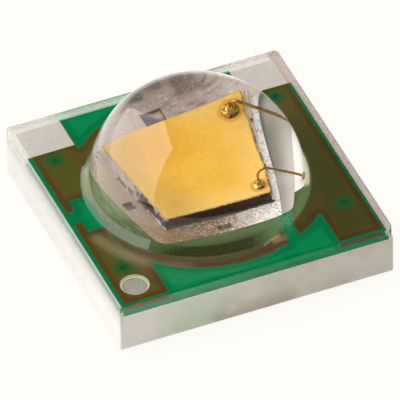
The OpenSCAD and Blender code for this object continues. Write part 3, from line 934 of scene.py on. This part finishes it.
def mask_material(board, lens):
    """Green solder mask: bright green on ceramic, olive and rust on copper, with darker green blots of
    painted shade over the vias, a pale painted highlight along its left and back edges, and painted light on
    the wall round the polarity dot. Below the dome it has painted light and shade of its own, and along the
    dome's foot a painted shadow line and a soft painted glow of light that the dome focuses, with a tan patch
    of that light in front."""

    def build(g, shader):
        at, x, y, _ = g.place()
        cx, cy = lens.centre_x / MM, lens.centre_y / MM
        speck, fleck, cloud = g.noise(at, 55.0, 2.0, 0.7), g.noise(at, 24.0, 3.0, 0.6), g.noise(at, 4.0, 3.0)
        gap = g.group(copper_distance(board), Position=at)[0] + (fleck - 0.5) * 0.035
        on_copper = g.smooth(gap, 0.016, -0.014)
        copper = mask_on_copper(g, board, x, y, gap, speck, fleck, cloud)
        front = g.smooth(x, -0.3, 0.15, 0.0, 0.05) * (g.smooth(y, -0.9, -1.2) * g.smooth(x, 0.5, 0.3))
        reach = g.disc(at, cx, cy) - front
        fern = mask_below_dome(g, at, x, y, speck, fleck, cloud)
        # Below the dome the mask on the copper takes its painted light and shade
        copper = g.mix(g.smooth(reach, 1.31, 1.25) * 0.92, copper, fern)
        colour = g.mix(on_copper, g.grained(at, tuple(board.mask_green), 9.0, 0.35)[0], copper)
        # Painted highlight along the left and back edges, where the film's rounded top edge catches the light
        left_edge_highlight = g.smooth(x - MASK_LOW[0], 0.026, 0.014)
        thin = g.math("MAXIMUM", left_edge_highlight, g.smooth(float(MASK_HIGH[1]) - y, 0.026, 0.014))
        colour = g.mix(thin * 0.85, colour, (186, 216, 194))
        # Painted shade of the dimples over the vias: darker green blots
        via = g.disc(g.vector("ABSOLUTE", at), board.via_x / MM, board.via_y / MM) + (fleck - 0.5) * 0.12
        colour = g.mix(g.smooth(via, 0.18, 0.07, 0.0, 0.8), colour, (34, 88, 42))
        colour = g.mix(g.smooth(via, 0.07, 0.02), colour, (0, 82, 46))
        # Painted light on the wall round the polarity dot: a pale ring
        dot = g.disc(at, board.dot_x / MM, board.dot_y / MM, board.dot_radius / MM)
        colour = g.mix(g.smooth(dot, 0.012, 0.004), colour, (206, 204, 170))
        # Painted shadow along the dome's foot, and a painted glow of light that the dome focuses beside it
        for radius, width, direction, spread, strength, tone in (
            (1.39, 0.12, 240, 72, 0.45, (62, 42, 18)),
            (1.5, 0.14, 220, 28, 0.28, (184, 168, 130)),
        ):
            angles = {"Direction": math.radians(direction), "Spread": math.radians(spread)}
            arc = g.group(arc_band(), Position=at, X=cx, Y=cy, Radius=radius, Width=width, **angles)[0]
            colour = g.mix(arc * strength * on_copper, colour, tone)
        # Painted light that the dome focuses: a tan patch in front
        caustic_patch = g.rectangle(at, 0.47, -1.3, 0.1, 0.05) + (fleck - 0.5) * 0.06
        colour = g.mix(g.smooth(caustic_patch, 0.03, -0.02, 0.0, 0.6) * on_copper, colour, (152, 128, 88))
        grains = g.smooth(g.rectangle(at, 0.6, -0.9, 0.12, 0.2), 0.05, -0.08)
        colour = g.mix(grains * g.smooth(speck, 0.48, 0.6, 0.1, 0.7), colour, (150, 196, 168))
        bare = g.smooth(g.rectangle(at, 0.12, 0.84, 0.12, 0.03), 0.03, 0.0, 0.0, 0.9)
        colour = g.mix(bare, colour, (172, 154, 143))
        cream = g.smooth(g.rectangle(at, 1.12, -0.16, 0.07, 0.34), 0.1, 0.0, 0.0, 0.85)
        colour = g.mix(cream * g.smooth(reach, 1.27, 1.24), colour, (214, 208, 180))
        lines = g.smooth(g.noise(at, 6.0, 3.0, 0.6, (0.6, 14.0, 1.0)), 0.62, 0.7)
        lines = lines * (g.smooth(y, -1.3, -1.5) * g.smooth(x, 1.0, 0.8))
        colour = g.mix(lines * 0.35, colour, (120, 196, 150))
        coat(g, shader, colour, g.noise(at, 12.0, 3.0), 0.15)

    return material("solder mask", build, Roughness=0.6, Specular_IOR_Level=0.0)


def mask_strip_material(board):
    """The green mask strips between the solder pads."""

    def build(g, shader):
        at = g.place()[0]
        colour, _, height = g.grained(at, tuple(board.mask_green), 9.0, 0.3)
        coat(g, shader, colour, height, 0.3)

    return material("mask strip", build, Roughness=0.35)


def silicone_material(lens, name="silicone", roughness=0.0, weight=1.0, frost=(1.0, 1.0, 1.0), marks=0.0):
    """Clear silicone. Rays from lamps pass straight through, so that they reach what it is moulded over. Its
    sawn sides have fine upright and level marks, and the sawn side at +X is darker with painted shade."""

    def build(g, shader):
        if marks:
            at, x, y, _ = g.place()
            patch = g.noise(at, 12.0, 4.0, 0.65, (1.0, 1.0, 1.6))
            tone = g.mix(g.smooth(patch, 0.4, 0.6), tuple(0.8 * c for c in frost), frost)
            # Painted shade on the sawn side at +X
            tone = g.mix(g.smooth(x, 1.69, 1.71), tone, (206, 186, 182))
            back = g.mix(g.smooth(x, 0.2, 1.1), (212, 224, 214), (222, 208, 204))
            tone = g.mix(g.smooth(y, 1.69, 1.71), tone, back)
            coat(g, shader, tone, g.noise(at, 16.0, 3.0, 0.6, (1.0, 1.0, 0.6)), marks, 0.006)
        shadow = g.add("ShaderNodeLightPath")["Is Shadow Ray"]
        clear = g.add("ShaderNodeBsdfTransparent")[0]
        g.surface(g.blend(shadow, Field(g, shader.outputs[0]), clear))

    values = {"Base_Color": frost, "Roughness": roughness, "IOR": lens.index, "Transmission_Weight": weight}
    return material(name, build, **values)


def phosphor_material(chip):
    """Powdery phosphor in silicone: warm yellow with a fine grain, paler towards the chip's edges and duller
    on the left with painted shade, with faint clouds of orange and a painted brown shadow round each gold
    pad."""

    def sides(g, at, x, y):
        """Sawn sides: dark in front, chipped and pale on the left and right, yellow behind."""
        chips = g.noise(at, 9.0, 4.0, 0.7)
        right = g.smooth(x, GLOW_HIGH[0] - 0.03, GLOW_HIGH[0] - 0.02)
        left = g.smooth(x, GLOW_LOW[0] + 0.03, GLOW_LOW[0] + 0.02)
        at_right = g.mix(g.smooth(chips, 0.44, 0.54), (122, 88, 58), (196, 176, 152))
        side = g.mix(right, (84, 62, 42), at_right)
        side = g.mix(left * g.smooth(chips, 0.42, 0.5), side, (196, 180, 166))
        return g.mix(g.smooth(y, GLOW_HIGH[1] - 0.05, GLOW_HIGH[1] - 0.03), side, (226, 190, 112))

    def build(g, shader):
        at, x, y, z = g.place()
        cloud, fleck = g.noise(at, 3.2, 2.0), g.noise(at, 22.0, 3.0, 0.6)
        edge = chip_outline(g, at) + (cloud - 0.5) * 0.3
        warm = g.mix(g.smooth(cloud, 0.4, 0.65, 0.0, 0.3), tuple(chip.phosphor), (214, 154, 56))
        toward = g.smooth(x - y * 0.6, -0.4, 0.6, 0.35, 0.9)
        warm = g.mix(g.smooth(edge, -0.3, -0.02) * toward, warm, tuple(chip.pale))
        # Painted brown shadow round each gold pad
        for node in ("chip_pad_front", "chip_pad_back"):
            middle = (low(node) + high(node)) / 2
            pad = g.disc(at, middle[0], middle[1], 0.07) + (fleck - 0.5) * 0.04
            warm = g.mix(g.smooth(pad, 0.02, 0.0, 0.0, 0.35), warm, (150, 96, 36))
        # Painted shade on the left, duller and darkest at the back left
        warm = g.stain(g.smooth(x + y * 0.3, -0.05, -0.4), warm, (231, 236, 254))
        far_left_shade = g.smooth(x - y * 0.32, -0.19, -0.27, 0.0, 0.85) * g.smooth(y, 0.15, 0.4)
        warm = g.mix(far_left_shade, warm, (207, 166, 100))
        warm = g.mix(g.smooth(g.disc(at, -0.08, 0.42), 0.34, 0.08, 0.0, 0.6), warm, (220, 158, 50))
        pale = g.smooth(edge, -0.05, 0.0) * g.smooth(fleck, 0.42, 0.56)
        warm = g.mix(pale * g.smooth(x + y, 0.9, 1.1, 0.25, 0.7), warm, (216, 198, 170))
        colour, _, height = g.grained(at, warm, 46.0, 0.4)
        sawn = z + (g.noise(at, 40.0, 2.0) - 0.5) * 0.012
        below = g.smooth(sawn, GLOW_HIGH[2] - 0.004, GLOW_HIGH[2] - 0.01)
        coat(g, shader, g.mix(below, colour, sides(g, at, x, y)), height, 0.6)

    return material("phosphor", build, Roughness=0.8, Specular_IOR_Level=0.0)


def carrier_material(chip):
    """Sawn chip sides: dark, with upright streaks of lighter and darker grey, broken pale patches on the left
    side, and two pale tones on the right side, which are paler than the side's own colour as painted light."""

    def build(g, shader):
        at, x, y, z = g.place()
        streak = g.noise(at, 14.0, 4.0, 0.7, (1.0, 1.0, 0.12))
        spot, chips = g.noise(at, 60.0, 2.0), g.noise(at, 9.0, 4.0, 0.7)
        colour = g.mix(g.smooth(streak, 0.52, 0.74), tuple(chip.carrier), (104, 88, 80))
        colour = g.mix(g.smooth(spot, 0.44, 0.3), colour, (36, 28, 28))
        left = g.smooth(x, CHIP_LOW[0] + 0.03, CHIP_LOW[0] + 0.02)
        upper = g.smooth(y + (chips - 0.5) * 0.8, -0.05, 0.2)
        at_left = g.mix(g.smooth(chips, 0.38, 0.5), (136, 114, 102), (208, 190, 178))
        colour = g.mix(left * g.math("MAXIMUM", upper, g.smooth(chips, 0.56, 0.62)), colour, at_left)
        # Right side: pale tones, made paler as painted light
        right = g.smooth(x, CHIP_HIGH[0] - 0.03, CHIP_HIGH[0] - 0.02)
        at_right = g.mix(g.smooth(chips, 0.46, 0.54), (236, 186, 140), (250, 226, 200))
        colour = g.mix(right, colour, at_right)
        upper_edge = g.smooth(z + (chips - 0.5) * 0.2, CHIP_HIGH[2] - 0.01, CHIP_HIGH[2] + 0.005)
        colour = g.mix(right * upper_edge * g.smooth(y, 0.5, 0.3, 0.3, 0.9), colour, (104, 78, 58))
        coat(g, shader, colour, streak, 0.6, 0.006)

    return material("chip carrier", build, Roughness=0.5, Specular_IOR_Level=0.2)


def attach_material():
    """Die attach squeezed out below the chip: brown and shaded in front, pale at the sides, with ragged
    brown spots on the right."""

    def build(g, shader):
        at, x, y, _ = g.place()
        chips = g.noise(at, 7.0, 4.0, 0.7)
        left = g.smooth(x, CHIP_LOW[0] + 0.012, CHIP_LOW[0])
        right = g.smooth(x, CHIP_HIGH[0] - 0.012, CHIP_HIGH[0])
        base = g.mix(left, (84, 62, 42), g.mix(g.smooth(chips, 0.4, 0.5), (120, 98, 86), (206, 190, 178)))
        ragged = g.smooth(chips, 0.5, 0.44) * g.smooth(abs(y - 0.25), 0.34, 0.22)
        base = g.mix(right, base, g.mix(ragged, (232, 220, 210), (140, 100, 68)))
        colour, _, height = g.grained(at, base, 40.0, 1.0)
        coat(g, shader, colour, height, 0.6)

    return material("die attach", build, Roughness=0.5, Metallic=0.3)


def gold_material(chip, name="gold", tarnish=0.0, centre=None):
    """Gold, drawn and pressed to shape, with brown tarnish in spots. A ball with its centre given is dented,
    and brown with painted shade below in front."""

    def build(g, shader):
        at = g.place()[0]
        spot = g.noise(at, 40.0, 3.0)
        colour = g.mix(g.smooth(spot, 0.48, 0.66, tarnish, tarnish + 0.5), tuple(chip.gold), (112, 66, 30))
        rough = 0.12 + tarnish * 0.3, 0.26 + tarnish * 0.3
        g.put(shader.inputs["Roughness"], g.smooth(spot, 0.35, 0.65, *rough))
        if centre is None:
            coat(g, shader, colour, spot, 0.4, 0.003)
        else:
            away = g.vector("SUBTRACT", at, tuple(float(v) for v in centre))
            # Painted shade: brown below in front of the ball
            below = g.vector("DOT_PRODUCT", away, (0.19, -0.72, -0.67)) + (spot - 0.5) * 0.05
            colour = g.mix(g.smooth(below, 0.012, 0.036, 0.0, 0.9), colour, (94, 46, 14))
            coat(g, shader, colour, g.noise(at, 26.0, 2.0), 1.0, 0.02)

    return material(name, build, Metallic=1.0)


def copper_material():
    """Dull copper of the filled vias."""

    def build(g, shader):
        g.put(shader.inputs["Base Color"], g.grained(g.place()[0], (184, 115, 75), 30.0, 0.4)[0])

    return material("via copper", build, Metallic=1.0, Roughness=0.4)


# Pieces


class LED_OT_tile(bpy.types.Operator):
    """Builds the ceramic tile and dresses the vias"""

    bl_idname = "led.tile"
    bl_label = "Ceramic tile"

    def execute(self, context):
        corner, edge, bottom, top = (0.03, 0.01, 0.015, 0.03), 0.018, TILE_LOW[2], TILE_HIGH[2]
        base = rounded(TILE_HALF, TILE_HALF, corner, 0, 150, 8)
        along, normal = lengths(base), outward(base)
        saw, chips = waves(3, 3, 60), waves(4, 5, 120)
        chipped = edge + np.clip(chips(along) - 0.45, 0, 1) * 0.03
        rows = []
        for turn in np.linspace(0, math.pi / 2, 4):
            inset = chipped * (1 - math.sin(turn))
            rows.append(lift(base - normal * inset[:, None], bottom + chipped * (1 - math.cos(turn))))
        for level in np.linspace(0.12, 0.9, 8):
            inset = 0.0025 * np.clip(saw(along, level * 2) + 1, 0.04, 3) * min(1, (1 - level) * 6)
            rows.append(lift(base - normal * inset[:, None], bottom + (top - bottom) * level))
        rows.append(lift(base, top))
        rows += lid(rows[-1])
        made = ceramic_material(context.scene.led_board)
        piece("ceramic_tile", [skin(np.array(rows))], [made], ["ceramic_substrate"])
        copper = copper_material()
        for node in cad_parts:
            if node.startswith("via_"):
                dress(node, copper)
        return {"FINISHED"}


class LED_OT_pads(bpy.types.Operator):
    """Builds the solder pads and the mask strips between them"""

    bl_idname = "led.pads"
    bl_label = "Solder pads"

    def execute(self, context):
        board = context.scene.led_board
        silver, strip = plating_material("pad plating", board), mask_strip_material(board)
        for kind, places, made, slot in (
            ("solder_pad_", ("left", "thermal", "right"), silver, "pad_silver"),
            ("bottom_mask_", ("left", "right"), strip, "mask_bottom"),
        ):
            for node in (kind + place for place in places):
                shape = plate(low(node), high(node), 0.04, 0.006)
                piece(node + "_finish", [shape], [made], [node])
        return {"FINISHED"}


class LED_OT_traces(bpy.types.Operator):
    """Dresses the two copper traces"""

    bl_idname = "led.traces"
    bl_label = "Traces"

    def execute(self, context):
        board = context.scene.led_board
        dress("die_trace", plating_material("field plating", board, "field"))
        dress("wire_trace", plating_material("land plating", board, "land"))
        return {"FINISHED"}


class LED_OT_mask(bpy.types.Operator):
    """Builds the printed solder mask, which sinks a little beside the copper"""

    bl_idname = "led.mask"
    bl_label = "Solder mask"

    def execute(self, context):
        board, lens = context.scene.led_board, context.scene.led_lens
        x0, y0, x1, y1 = MASK_LOW[0], MASK_LOW[1], MASK_HIGH[0], MASK_HIGH[1]
        land, strip_in = board.land_edge / MM, COPPER_HALF - board.strip_width / MM
        outer = np.array([
            (x0, y0), (x1, y0), (x1, land), (strip_in, land), (strip_in, y1),
            (-strip_in, y1), (-strip_in, land), (x0, land),
        ])
        left, front, back = -board.field_left / MM, -board.field_front / MM, board.field_back / MM
        right, half, gap_right = board.wire_right / MM, board.wire_half / MM, LAND_LOW[0]
        field = np.array([
            (left, front), (gap_right, front), (gap_right, -half), (right, -half),
            (right, half), (gap_right, half), (gap_right, back), (left, back),
        ])
        dot = circle(board.dot_x / MM, board.dot_y / MM, board.dot_radius / MM)
        rim, front_edge, spacing = 0.05, 0.01, 0.03

        def sink(plan, start, end):
            t = np.clip((copper_gap(plan, board) - start) / (end - start), 0, 1)
            return t * t * (3 - 2 * t)

        def top(plan):
            z = MASK_TOP - board.step / MM * sink(plan, -0.02, 0.05)
            t = np.clip((plan[:, 1] - y0) / rim, 0, 1)
            return CERAMIC_TOP + front_edge + (z - CERAMIC_TOP - front_edge) * t * (2 - t)

        def bottom(plan):
            return COPPER_TOP - (COPPER_TOP - CERAMIC_TOP) * sink(plan, 0.0, 0.004)

        middle = (x0 + x1) / 2, (y0 + y1) / 2
        extra = rounded((x1 - x0) / 2 - rim, (y1 - y0) / 2 - rim, 0.01, 0, 110, 3) + middle
        extra = extra[extra[:, 1] < y0 + 2 * rim]
        shape = sheet(outer, [field, dot], top, bottom, spacing, extra)
        piece("mask_sheet", [shape], [mask_material(board, lens)], ["solder_mask"])
        return {"FINISHED"}


class LED_OT_chip(bpy.types.Operator):
    """Builds the chip with its ragged sawn sides, its phosphor layer and the die attach"""

    bl_idname = "led.chip"
    bl_label = "Chip"

    def execute(self, context):
        chip = context.scene.led_chip
        middle = (CHIP_LOW[:2] + CHIP_HIGH[:2]) / 2
        half = (CHIP_HIGH[0] - CHIP_LOW[0]) / 2
        base, soft = rounded(half, half, 0.012, 0, 110, 4), rounded(half, half, 0.04, 0, 150, 8)
        along, along_soft = lengths(base), lengths(soft)
        rough, fine, lip = waves(11, 8, 160), waves(12, 20, 300), waves(13, 60, 420, 40)

        def ring(inset, z, outline=base):
            return lift(outline - outward(outline) * np.asarray(inset)[:, None] + middle, z)

        foot, top = CHIP_LOW[2], GLOW_HIGH[2]
        rows = []
        for level in np.linspace(0, 1, 7):
            inset = 0.006 * (rough(along, level) + 1) + 0.002 * (fine(along, 5 * level) + 1)
            rows.append(ring(inset, foot + (CHIP_HIGH[2] - foot) * level))
        carrier = skin(np.array(rows))
        at_right = outward(soft)[:, 0] > 0.7
        bites = at_right * 0.012 * np.clip(waves(14, 8, 70)(along_soft) + 0.3, 0, 2)
        edge = 0.011 + 0.0045 * (lip(along_soft) + 1) + bites
        rows = []
        for level in np.linspace(0, 1, 4):
            inset = edge - 0.004 * math.cos(math.pi / 4 * level)
            rows.append(ring(inset, GLOW_LOW[2] + (top - GLOW_LOW[2]) * 0.75 * level, soft))
        for level in np.linspace(0.33, 1, 3):
            inset = edge + 0.006 * math.sin(math.pi / 2 * level)
            rows.append(ring(inset, top - 0.0075 * (1 - level), soft))
        rows += lid(rows[-1])
        glow = skin(np.array(rows))
        piece("chip_body", [carrier], [carrier_material(chip)], ["chip_carrier"])
        piece("phosphor_coat", [glow], [phosphor_material(chip)], ["phosphor_layer"])
        bead = 0.012 * (rough(along, 3.0) + 0.6)
        bottom, shoulder = low("die_attach")[2], high("die_attach")[2] + 0.006
        rows = [ring(-bead, bottom), ring(-bead * 0.9, bottom + 0.005), ring(-bead * 0.3, shoulder)]
        rows.append(ring(0 * bead + 0.02, shoulder))
        attach = skin(np.array(rows))
        piece("die_attach_bead", [attach], [attach_material()], ["die_attach"])
        return {"FINISHED"}


def wire_path(start, end, base, loop, heel, end_z):
    """A wire's route: straight up to the first bend, a bend over the top, a straight run that touches both
    bends from opposite sides, and a last bend that ends level."""
    dx, dy = end[0] - start[0], end[1] - start[1]
    reach = math.hypot(dx, dy)
    drop, span = end_z + heel - base, reach - loop
    dist = math.hypot(span, drop)
    slope = math.asin((loop + heel) / dist) - math.atan2(drop, span)
    a = np.linspace(math.pi, math.pi / 2 - slope, 28)
    b = np.linspace(1.5 * math.pi - slope, 1.5 * math.pi, 12)
    s = np.concatenate([[0, 0], loop + loop * np.cos(a), reach + heel * np.cos(b)])
    straight = [base - 0.03, base - 0.015]
    z = np.concatenate([straight, base + loop * np.sin(a), end_z + heel + heel * np.sin(b)])
    steps = np.concatenate([[0], np.cumsum(np.hypot(np.diff(s), np.diff(z)))])
    even = np.linspace(0, steps[-1], 90)
    s, z = np.interp(even, steps, s), np.interp(even, steps, z)
    ux, uy = dx / reach, dy / reach
    return np.stack([start[0] + s * ux, start[1] + s * uy, z], -1), np.array([-uy, ux, 0.0])


class LED_OT_wires(bpy.types.Operator):
    """Builds the two gold wires with their balls and end bumps, and the pads below them"""

    bl_idname = "led.wires"
    bl_label = "Bond wires"

    def execute(self, context):
        chip = context.scene.led_chip
        gold, drawn = gold_material(chip), gold_material(chip, "drawn gold", 0.3)
        stained = gold_material(chip, "stained gold", 0.5)
        radius, heel, end_x = chip.wire / MM / 2, chip.heel / MM, chip.end_x / MM
        for name, end_y, loop, neck in (
            ("front", FRONT_END, chip.front_loop / MM, chip.front_neck / MM),
            ("back", BACK_END, chip.back_loop / MM, chip.back_neck / MM),
        ):
            a, b = low("chip_pad_" + name), high("chip_pad_" + name)
            x, y, z = (a[0] + b[0]) / 2, (a[1] + b[1]) / 2, b[2]
            r, t = (b[0] - a[0]) / 2, b[2] - a[2]
            pad = np.array([(r - 0.003, 0), (r, 0.004), (r, t * 0.6), (r - 0.004, t), (r - 0.02, t)])
            pad = revolve(pad, x, y, a[2])
            piece("wire_pad_" + name, [pad], [gold], ["chip_pad_" + name])
            base, end_z = z + NECK_BASE + neck, COPPER_TOP + radius
            path, side = wire_path((x, y), (end_x, end_y), base, loop, heel, end_z)
            parts = [
                marked(revolve(BALL * (chip.ball / MM / 2, 1), x, y, z), 1),
                marked(tube(path, radius, side), 2),
                revolve(BUMP * (chip.bump / MM / 2, 1), end_x, end_y, COPPER_TOP),
            ]
            dented = gold_material(chip, name + " ball", 0.0, (x, y, z + 0.02))
            piece("gold_wire_" + name, parts, [stained, dented, drawn], ["bond_wire_" + name], 60)
        return {"FINISHED"}


class LED_OT_lens(bpy.types.Operator):
    """Builds the clear lens: film, concave foot and dome in one shell"""

    bl_idname = "led.lens"
    bl_label = "Lens"

    def execute(self, context):
        lens = context.scene.led_lens
        centre = np.array([lens.centre_x, lens.centre_y]) / MM
        big, film = lens.dome_radius / MM, lens.film_top / MM
        wide, tall = lens.foot_width / MM, lens.foot_height / MM
        corner, edge = np.array(lens.corners) / MM, lens.edge / MM
        outline = rounded(TILE_HALF, TILE_HALF, corner, 0, 110, 12)
        normal, along = outward(outline), lengths(outline)
        inner = rounded(TILE_HALF, TILE_HALF, corner, edge, 110, 12)
        away = outline - centre
        away /= np.linalg.norm(away, axis=1, keepdims=True)
        rise = np.linspace(math.pi / 2, math.asin(tall / big), lens.rings)[1:]
        slope = np.array([0.04, 0.5, 0.94, 1.0])
        touch = big * math.cos(rise[-1])
        radius = np.concatenate([big * np.cos(rise), touch + (big + wide - touch) * slope])
        height = np.concatenate([big * np.sin(rise), tall * (1 - slope)])
        rows = [lift(centre + away * r, film + h) for r, h in zip(radius, height)]
        last = rows[-1][:, :2]
        for t in (0.02, 0.25, 0.5, 0.75, 1.0):
            rows.append(lift(last + (inner - last) * t, film))
        turns = np.linspace(0, math.pi / 2, 6)[1:]
        for turn in turns:
            inset = normal * edge * (1 - math.sin(turn))
            rows.append(lift(outline - inset, film - edge * (1 - math.cos(turn))))
        walls = len(rows) - 1
        saw = waves(21, 4, 90)
        overlap = 0.004
        depth, upper = lens.saw_depth / MM, film - edge
        for level in (0.2, 0.4, 0.6, 0.8, 0.97):
            inset = depth * np.clip(saw(along, 3 * level) + 1, 0.04, 3) * min(1.0, (1 - level) * 8)
            rows.append(lift(outline - normal * inset[:, None], upper + (CERAMIC_TOP - upper) * level))
        rows.append(lift(outline - normal * 0.002, CERAMIC_TOP - overlap))
        marks = np.zeros((len(rows) - 1, len(outline)), int)
        # The rounded upper edge on the left takes a pale frosted silicone, a painted highlight
        marks[walls - len(turns) : walls] = np.where(normal[:, 0] < -0.7, 3, 0)
        marks[walls:] = np.where(normal[:, 1] < -0.7, 2, 1)
        made = [
            silicone_material(lens),
            silicone_material(lens, "sawn silicone", 0.25, 0.85, (0.92, 0.93, 0.92), 0.15),
            silicone_material(lens, "sawn front", 0.04, 0.97, (0.9, 0.97, 0.92), 0.15),
            # Pale frosted silicone for the painted highlight on the left upper edge
            silicone_material(lens, "worn edge", 0.4, 0.6, (0.78, 0.86, 0.78)),
        ]
        piece("silicone_lens", [skin(np.array(rows), marks=marks)], made, ["lens"], 25)
        return {"FINISHED"}


# Stage


def plain_mesh(name, points, made):
    """An object of one flat face, in metres, that belongs to the stage."""
    mesh = bpy.data.meshes.new(name)
    mesh.from_pydata(points, [], [tuple(range(len(points)))])
    mesh.materials.append(made)
    surface = bpy.data.objects.new(name, mesh)
    bpy.context.scene.collection.objects.link(surface)
    return surface


def floor_material():
    """The floor: nearly white to the camera, in glass and in metal, with the part's shadow. The lens mirrors
    it brightly near the part and on the left, and from below it can't be seen."""

    def build(g, shader):
        path = g.add("ShaderNodeLightPath")
        glossy, passed = path["Is Glossy Ray"], path["Transmission Depth"]
        seen = g.math("MAXIMUM", path["Is Camera Ray"], glossy)
        seen = g.math("MAXIMUM", seen, path["Is Transmission Ray"])
        first = glossy * g.math("LESS_THAN", passed, 0.5) * g.math("LESS_THAN", path["Diffuse Depth"], 0.5)
        later = g.math("GREATER_THAN", path["Glossy Depth"], 0.5) * g.math("GREATER_THAN", passed, 0.5)
        paper = g.add("ShaderNodeEmission", Color=PAPER, Strength=g.smooth(later, 0.0, 1.0, 0.985, 0.2))[0]
        floor = g.blend(seen * 0.92, Field(g, shader.outputs[0]), paper)
        at, x, y, _ = g.place()
        near = g.smooth(g.vector("LENGTH", at), 14.0, 3.0, 0.3, 1.3)
        level = near * g.smooth(x - y * 0.5, 1.5, 0.3, 0.15, 1.0)
        level = g.math("MAXIMUM", level, g.smooth(x + y * 0.2, 1.0, -1.0, 0.0, 0.9))
        mirrored = g.add("ShaderNodeEmission", Color=(255, 250, 244), Strength=level)[0]
        beneath = g.add("ShaderNodeNewGeometry")["Backfacing"]
        beneath = g.math("MAXIMUM", beneath, g.math("LESS_THAN", path["Ray Length"], 0.08 * MM))
        clear = g.add("ShaderNodeBsdfTransparent")[0]
        g.surface(g.blend(beneath, g.blend(first, floor, mirrored), clear))

    return material("floor", build, Base_Color=(245, 243, 239), Roughness=0.9, Specular_IOR_Level=0.0)


def studio_world(sky):
    """The world: paper white to the camera, dark in reflections, and an even grey light for the rest."""
    world = bpy.data.worlds.new("studio")
    world.use_nodes = True
    g = Graph(world.node_tree)
    path = g.add("ShaderNodeLightPath")
    mirrored = path["Is Glossy Ray"] * g.math("LESS_THAN", path["Diffuse Depth"], 0.5)
    outer = mirrored * g.math("LESS_THAN", path["Transmission Depth"], 0.5)
    colour = g.mix(mirrored, (sky, sky, sky * 0.98), (0.4, 0.4, 0.38))
    colour = g.mix(outer, colour, (0.05, 0.05, 0.05))
    g.put(world.node_tree.nodes["Background"].inputs["Color"], g.mix(path["Is Camera Ray"], colour, PAPER))
    return world


def lamp(name, corner, first, second, brightness):
    """A soft box that no reflection shows, with one corner and two edges given in metres. It shines towards
    the part."""
    a, b = np.array(first), np.array(second)
    middle = np.array(corner) + a / 2 + b / 2
    wide, tall = np.linalg.norm(a), np.linalg.norm(b)
    x, y = a / wide, b / tall
    z = np.cross(x, y)
    if z @ middle < 0:
        x, z = -x, -z
    data = bpy.data.lights.new(name, "AREA")
    data.shape, data.size, data.size_y = "RECTANGLE", wide, tall
    data.energy = brightness * math.pi * wide * tall
    made = bpy.data.objects.new(name, data)
    made.matrix_world = axes_at(x, y, z, middle)
    made.visible_glossy = made.visible_camera = made.visible_transmission = False
    bpy.context.scene.collection.objects.link(made)


def axes_at(x, y, z, place):
    """The matrix of an object with these axes at a place."""
    return Matrix([[x[i], y[i], z[i], place[i]] for i in range(3)] + [[0, 0, 0, 1]])


def box_material(panel):
    """The tall soft box, brighter and cooler towards its top."""

    def build(g, shader):
        z = g.place()[3]
        tone = g.mix(g.smooth(z, 15.0, 50.0), (1.0, 0.96, 0.93), (0.95, 0.96, 0.98))
        strength = g.smooth(z, 0.0, 45.0, panel * 0.66, panel)
        g.surface(g.add("ShaderNodeEmission", Color=tone, Strength=strength)[0])

    return material("soft box", build)


class LED_OT_stage(bpy.types.Operator):
    """Sets the floor, the lights and the camera"""

    bl_idname = "led.stage"
    bl_label = "Stage"

    def execute(self, context):
        scene, stage = context.scene, context.scene.led_stage
        scene.view_settings.view_transform = "Standard"
        far, under = 1.5, -0.001 * MM
        corners = [(-far, -far, under), (far, -far, under), (far, far, under), (-far, far, under)]
        plain_mesh("floor", corners, floor_material())
        scene.world = studio_world(stage.sky)

        corner, down, level = (0.1 * v for v in (BOX_CORNER, BOX_DOWN, BOX_LEVEL))
        lamp("side light", corner, down * 0.86, level * 1.6, stage.side)
        lamp("overhead soft box", (-0.05, -0.05, 0.12), (0.1, 0, 0), (0, 0.1, 0), stage.fill)
        lamp("right light", (0.07, -0.03, 0.02), (-0.02, 0, 0.06), (0, 0.07, 0), stage.right)
        lamp("light from below", (-0.1, -0.1, -0.1), (0.2, 0, 0), (0, 0.2, 0), stage.below)
        outline = corner + BOX_OUTLINE[:, :1] * level + BOX_OUTLINE[:, 1:] * down
        box = plain_mesh("soft box", outline.tolist(), box_material(stage.panel))
        box.visible_camera = box.visible_diffuse = box.visible_shadow = False

        back = CAMERA_BACK / np.linalg.norm(CAMERA_BACK)
        right = np.cross(CAMERA_UP, back)
        right /= np.linalg.norm(right)
        up = np.cross(back, right)
        place = (TARGET + TARGET_RIGHT * right + TARGET_UP * up) * MM + back * stage.distance
        data = bpy.data.cameras.new("camera")
        data.sensor_width = FILM_WIDTH
        data.lens = stage.scale * stage.distance / MM * FILM_WIDTH / PICTURE_WIDTH
        data.clip_start, data.clip_end = 0.001, 20
        data.dof.use_dof = False
        camera = bpy.data.objects.new("camera", data)
        camera.matrix_world = axes_at(right, up, back, place)
        scene.collection.objects.link(camera)
        scene.camera = camera
        return {"FINISHED"}


STEPS = ("tile", "pads", "traces", "mask", "chip", "wires", "lens", "stage")


class LED_PT_panel(bpy.types.Panel):
    """Lists the steps that build the part"""

    bl_label = "Surface-mount LED"
    bl_idname = "LED_PT_panel"
    bl_space_type = "VIEW_3D"
    bl_region_type = "UI"
    bl_category = "LED"

    def draw(self, context):
        for step in STEPS:
            self.layout.operator("led." + step)


SETTINGS = {
    "led_lens": LedLensSettings, "led_board": LedBoardSettings, "led_chip": LedChipSettings,
    "led_stage": LedStageSettings,
}
CLASSES = (
    *SETTINGS.values(),
    LED_OT_tile, LED_OT_pads, LED_OT_traces, LED_OT_mask,
    LED_OT_chip, LED_OT_wires, LED_OT_lens, LED_OT_stage,
    LED_PT_panel,
)


def register():
    for item in CLASSES:
        bpy.utils.register_class(item)
    for name, kind in SETTINGS.items():
        setattr(bpy.types.Scene, name, PointerProperty(type=kind))


def unregister():
    for name in SETTINGS:
        delattr(bpy.types.Scene, name)
    for item in reversed(CLASSES):
        bpy.utils.unregister_class(item)


def main():
    register()
    for step in STEPS:
        getattr(bpy.ops.led, step)()


if __name__ == "__main__":
    main()
